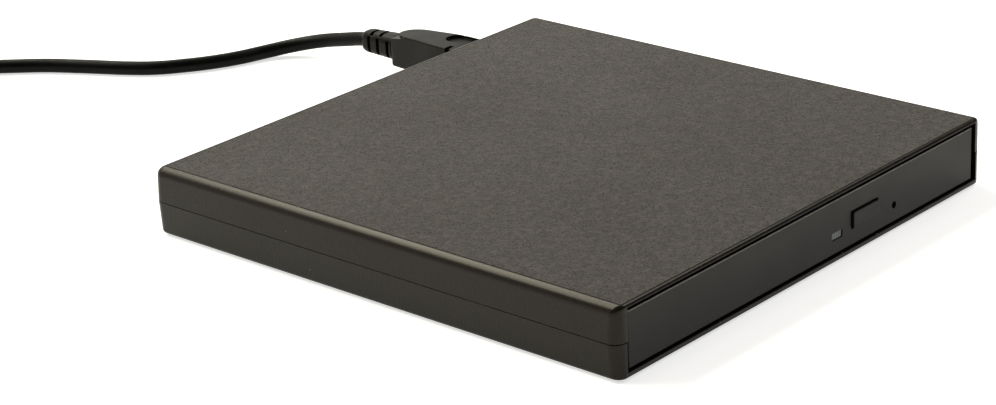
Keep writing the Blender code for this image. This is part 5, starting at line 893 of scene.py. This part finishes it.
# Box between two corners in mm.
def block(name, low, high, place):
    mesh = bpy.data.meshes.new(name)
    shape = bmesh.new()
    bmesh.ops.create_cube(shape, size=1)
    size = (Vector(high) - Vector(low)) * MM
    middle = (Vector(high) + Vector(low)) / 2 * MM
    for point in shape.verts:
        point.co = place @ (point.co * size + middle)
    shape.to_mesh(mesh)
    shape.free()
    return mesh


def joined(name, meshes):
    shape = bmesh.new()
    for mesh in meshes:
        shape.from_mesh(mesh)
    whole = bpy.data.meshes.new(name)
    shape.to_mesh(whole)
    shape.free()
    return whole


# The piece's mesh less the given ones.
def carve(piece, meshes):
    cutter = add_mesh(piece.name + "_cut", joined("cut", meshes), None)
    cut = piece.modifiers.new("cut", "BOOLEAN")
    cut.operation = "DIFFERENCE"
    cut.solver = "EXACT"
    cut.object = cutter
    graph = bpy.context.evaluated_depsgraph_get()
    result = bpy.data.meshes.new_from_object(piece.evaluated_get(graph))
    piece.modifiers.remove(cut)
    piece.data = result
    bpy.data.objects.remove(cutter)


# The lead

# Evenly spaced points on a smooth curve through the given ones.
def smooth_route(points, step):
    knots = [Vector(point) for point in points]
    knots = [knots[0] * 2 - knots[1], *knots, knots[-1] * 2 - knots[-2]]
    dense = []
    for before, start, end, after in zip(knots, knots[1:], knots[2:], knots[3:]):
        for tick in range(CURVE_TICKS):
            share = tick / CURVE_TICKS
            bend_in = (end - before) / 2
            bend_out = (after - start) / 2
            dense.append(
                start * (2 * share**3 - 3 * share**2 + 1)
                + bend_in * (share**3 - 2 * share**2 + share)
                + end * (3 * share**2 - 2 * share**3)
                + bend_out * (share**3 - share**2)
            )
    dense.append(knots[-2])
    lengths = [0]
    for near, far in zip(dense, dense[1:]):
        lengths.append(lengths[-1] + (far - near).length)
    count = max(2, round(lengths[-1] / step))
    placed = []
    index = 0
    for number in range(count + 1):
        wanted = lengths[-1] * number / count
        while index < len(lengths) - 2 and lengths[index + 1] < wanted:
            index += 1
        share = (wanted - lengths[index]) / max(lengths[index + 1] - lengths[index], 1e-9)
        placed.append(dense[index].lerp(dense[index + 1], share))
    return placed


def coil_point(turns):
    angle = math.radians(COIL_START_DEGREES) + 2 * math.pi * turns
    half = COIL_TURNS / 2
    radius = COIL_OUTER_RADIUS - COIL_PITCH * min(turns, COIL_TURNS - turns)
    climb = min(1, max(0, (turns - half) / COIL_CLIMB_TURNS + 1 / 2))
    rise = COIL_PITCH * climb * climb * (3 - 2 * climb)
    return Vector(
        (
            COIL_CENTRE[0] + radius * math.cos(angle),
            COIL_CENTRE[1] + radius * math.sin(angle),
            CABLE_RADIUS + rise,
        )
    )


def coil_heading(turns):
    angle = math.radians(COIL_START_DEGREES) + 2 * math.pi * turns + math.pi / 2
    return Vector((math.cos(angle), math.sin(angle), 0))


def tail_end():
    end = coil_point(COIL_TURNS) + coil_heading(COIL_TURNS) * COIL_TAIL
    return Vector((end.x, end.y, FAR_PLUG_HEIGHT / 2))


def coil_route():
    steps = round(COIL_TURNS * COIL_POINTS_A_TURN)
    route = [coil_point(0) - coil_heading(0) * COIL_LEAD]
    route += [coil_point(COIL_TURNS * step / steps) for step in range(steps + 1)]
    high = coil_point(COIL_TURNS).z
    low = FAR_PLUG_HEIGHT / 2
    straight = 2 * CABLE_RADIUS
    for step in range(1, CABLE_BEND_STEPS + 1):
        share = step / CABLE_BEND_STEPS
        point = coil_point(COIL_TURNS) + coil_heading(COIL_TURNS) * (COIL_TAIL - straight) * share
        point.z = high + (low - high) * share * share * (3 - 2 * share)
        route.append(point)
    route.append(tail_end())
    return route


def lead_route():
    start = Vector((PORT_X, CABLE_START_Y, RELIEF_Z))
    straight = Vector((0, CABLE_RADIUS / 2, 0))
    coil = coil_route()
    end = coil[0] - coil_heading(0) * GAP
    lead = coil_heading(0) * 2 * CABLE_RADIUS
    return [start, *smooth_route([start + straight, *CABLE_ROUTE, end - lead], CABLE_STEP), *coil]


def lead(look):
    route = lead_route()
    curve = bpy.data.curves.new("lead", "CURVE")
    curve.dimensions = "3D"
    curve.bevel_depth = CABLE_RADIUS
    curve.bevel_resolution = CABLE_ROUND_STEPS
    curve.resolution_u = CABLE_LENGTH_STEPS
    curve.use_fill_caps = True
    spline = curve.splines.new("BEZIER")
    spline.bezier_points.add(len(route) - 1)
    for slot, point in zip(spline.bezier_points, route):
        slot.co = point
        slot.handle_left_type = "AUTO"
        slot.handle_right_type = "AUTO"
    curve.materials.append(look)
    piece = bpy.data.objects.new("lead", curve)
    bpy.context.scene.collection.objects.link(piece)
    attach(piece, "enclosure")
    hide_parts("usb_cable", "usb_cable_coil")
    length = sum((far - near).length for near, far in zip(route, route[1:]))
    return piece, route, length


# The light's window, which fills its hole in the bezel, set a little back.
def light_window(look, group):
    place = Matrix.Translation((WINDOW_X * MM, 0, 0))
    mesh = loft("light_window", WINDOW_STATIONS, place)
    window = add_mesh("light_window", mesh, look, body=TRAY_BODY)
    finish_shape(window, group)
    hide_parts("led_window")


# The sheet that closes the mechanism's frame from below, with two stiffening beads along it.
def frame_shield(look, group):
    turn = Matrix.Rotation(math.radians(SHIELD_DEGREES), 4, "Z")
    place = Matrix.Translation((0, SPINDLE_Y, 0)) @ turn
    parts = [block("sheet", *SHIELD_SHEET, place)]
    for across in SHIELD_BEADS_ACROSS:
        low, high = ((x, y + across, z) for x, y, z in SHIELD_BEAD)
        parts.append(block("bead", low, high, place))
    mesh = joined("frame_shield", parts)
    shield = add_mesh("frame_shield", mesh, look, body=TRAY_BODY)
    finish_shape(shield, group)


# The moulded plug at the case: a long block that narrows to the rear. The raised plate on top ends in
# a round behind. An arch is sunk into it next to the case, and a notch lies in its left edge.
def drive_plug(look, steel, group):
    place = Matrix.Translation((PORT_X, PLUG_FRONT_Y, 0))
    plug = add_mesh("drive_plug", loft("drive_plug", PLUG_STATIONS, place), look)
    arch = half_ellipse(ARCH_CENTRE, ARCH_RADIUS, ARCH_RADIUS, 0, math.pi, ARCH_STEPS)
    arch += [(ARCH_CENTRE[0] + side * ARCH_RADIUS, ARCH_FRONT) for side in (-1, 1)]
    carve(plug, [pit("well", arch, ARCH_FLOOR, place)])
    carve(plug, [block("notch", *NOTCH, place)])
    end = PLATE_END[1]
    half = LEDGE_HALF_WIDTH
    ledge = [(-half, end)]
    ledge += half_ellipse(PLATE_END, PLATE_HALF_WIDTH, PLATE_ROUND, math.pi, 0, PLATE_STEPS)
    ledge += [(half, end), (half, LEDGE_BACK), (-half, LEDGE_BACK)]
    carve(plug, [pit("ledge", ledge, LEDGE_FLOOR, place, LEDGE_SLOPE, end)])
    finish_shape(plug, group)
    place = Matrix.Translation((PORT_X, PLUG_FRONT_Y, PORT_Z))
    mesh = bar("drive_plug_nose", NOSE_ENDS, NOSE_SECTION, place)
    nose = add_mesh("drive_plug_nose", mesh, steel)
    carve(nose, [bar("nose_hollow", NOSE_HOLLOW_ENDS, NOSE_HOLLOW_SECTION, place)])
    finish_shape(nose, group)
    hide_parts("device_plug")
    return plug, nose


# The strain relief: a tapering square tube whose slots on neighbouring faces are staggered.
def plug_relief(look, group):
    place = Matrix.Translation((PORT_X, RELIEF_Y, RELIEF_Z))
    stations = []
    for share, shrink in RELIEF_SHRINKS:
        half = between(RELIEF_HALF_WIDTH, share) - shrink
        low = between(RELIEF_SINK, share) - half
        high = between(RELIEF_RISE, share) + half
        corner = between(RELIEF_CORNER, share)
        stations.append((RELIEF_LENGTH * share, half, half, low, high, corner))
    relief = add_mesh("drive_plug_relief", loft("drive_plug_relief", stations, place), look)
    across, half = RELIEF_SLOT_HALF
    floor, top = RELIEF_SLOT_LEVELS
    for face in range(4):
        turned = place @ Matrix.Rotation(math.pi / 2 * face, 4, "Y")
        slots = [
            block("slot", (-across, along - half, floor), (across, along + half, top), turned)
            for along in RELIEF_SLOTS_ALONG[face % 2]
        ]
        carve(relief, slots)
    finish_shape(relief, group)
    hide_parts("device_plug_relief")
    return relief


def facing(place, direction):
    across = Vector((direction.y, -direction.x, 0))
    turn = Matrix((across, direction, Vector((0, 0, 1)))).transposed().to_4x4()
    return Matrix.Translation(place) @ turn


# The moulding of the far plug, with grips on its sides and slots in its tail.
def far_plug_body(look, place, group):
    plug = add_mesh("lead_plug", loft("lead_plug", FAR_PLUG_STATIONS, place), look)
    cutters = []
    for side in (-1, 1):
        near, far = sorted(side * depth for depth in GRIP_DEPTHS)
        for along in GRIPS_ALONG:
            low = (near, along - GRIP_HALF_WIDTH, -GRIP_HALF_HEIGHT)
            high = (far, along + GRIP_HALF_WIDTH, GRIP_HALF_HEIGHT)
            cutters.append(block("grip", low, high, place))
    across, half = TAIL_SLOT_HALF
    for along in TAIL_SLOTS_ALONG:
        for side in (-1, 1):
            floor, top = sorted(side * level for level in TAIL_SLOT_LEVELS)
            low = (-across, along - half, floor)
            high = (across, along + half, top)
            cutters.append(block("slot", low, high, place))
    carve(plug, cutters)
    finish_shape(plug, group)
    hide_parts("computer_plug")
    return plug


# The metal end of the far plug, hollow at its mouth, with two windows above and two below.
def far_plug_shell(steel, mouth, group):
    mesh = bar("lead_plug_shell", SHELL_ENDS, SHELL_SECTION, mouth)
    shell = add_mesh("lead_plug_shell", mesh, steel)
    windows = []
    start, end = SHELL_WINDOW_ENDS
    for x in SHELL_WINDOWS_X:
        for side in (-1, 1):
            floor, top = sorted(side * level for level in SHELL_WINDOW_LEVELS)
            low = (x - SHELL_WINDOW_HALF_WIDTH, start, floor)
            high = (x + SHELL_WINDOW_HALF_WIDTH, end, top)
            windows.append(block("window", low, high, mouth))
    carve(shell, [bar("shell_hollow", SHELL_HOLLOW_ENDS, SHELL_HOLLOW_SECTION, mouth)])
    carve(shell, windows)
    finish_shape(shell, group)
    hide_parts("computer_plug_shell")
    return shell


# The plug at the far end, which lies beside the coil.
def computer_plug(look, steel, dark, gold, group):
    direction = coil_heading(COIL_TURNS)
    place = facing(tail_end() + direction * GAP, direction)
    plug = far_plug_body(look, place, group)
    mouth = place @ Matrix.Translation((0, MOUTH_Y * MM, 0))
    shell = far_plug_shell(steel, mouth, group)
    mesh = block("lead_plug_insert", *INSERT, mouth)
    insert = add_mesh("lead_plug_insert", mesh, dark)
    finish_shape(insert, group)
    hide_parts("computer_plug_insert")
    strips = []
    for number in range(CONTACT_COUNT):
        across = CONTACTS_SPREAD * (number / (CONTACT_COUNT - 1) - 0.5)
        low, high = ((x + across, y, z) for x, y, z in CONTACT)
        strips.append(block("strip", low, high, mouth))
    mesh = joined("lead_plug_contacts", strips)
    contacts = add_mesh("lead_plug_contacts", mesh, gold)
    return plug, shell, insert, contacts


def make():
    bpy.context.scene.view_settings.view_transform = "Standard"
    set_camera()
    group = smooth_group()
    looks = {name: builder() for name, builder in LOOKS.items()}
    moulding = plug_moulding()
    gold = contact_gold()
    piece, route, length = lead(looks["cable_sheath"])
    plug, nose = drive_plug(moulding, looks["bright_steel"], group)
    relief = plug_relief(moulding, group)
    light_window(looks["light_pipe"], group)
    frame_shield(looks["connector_plastic"], group)
    others = computer_plug(moulding, looks["bright_steel"], looks["connector_plastic"], gold, group)
    set_world()
    set_softboxes()
    set_floor()
    dress_nodes(group, looks)


make()
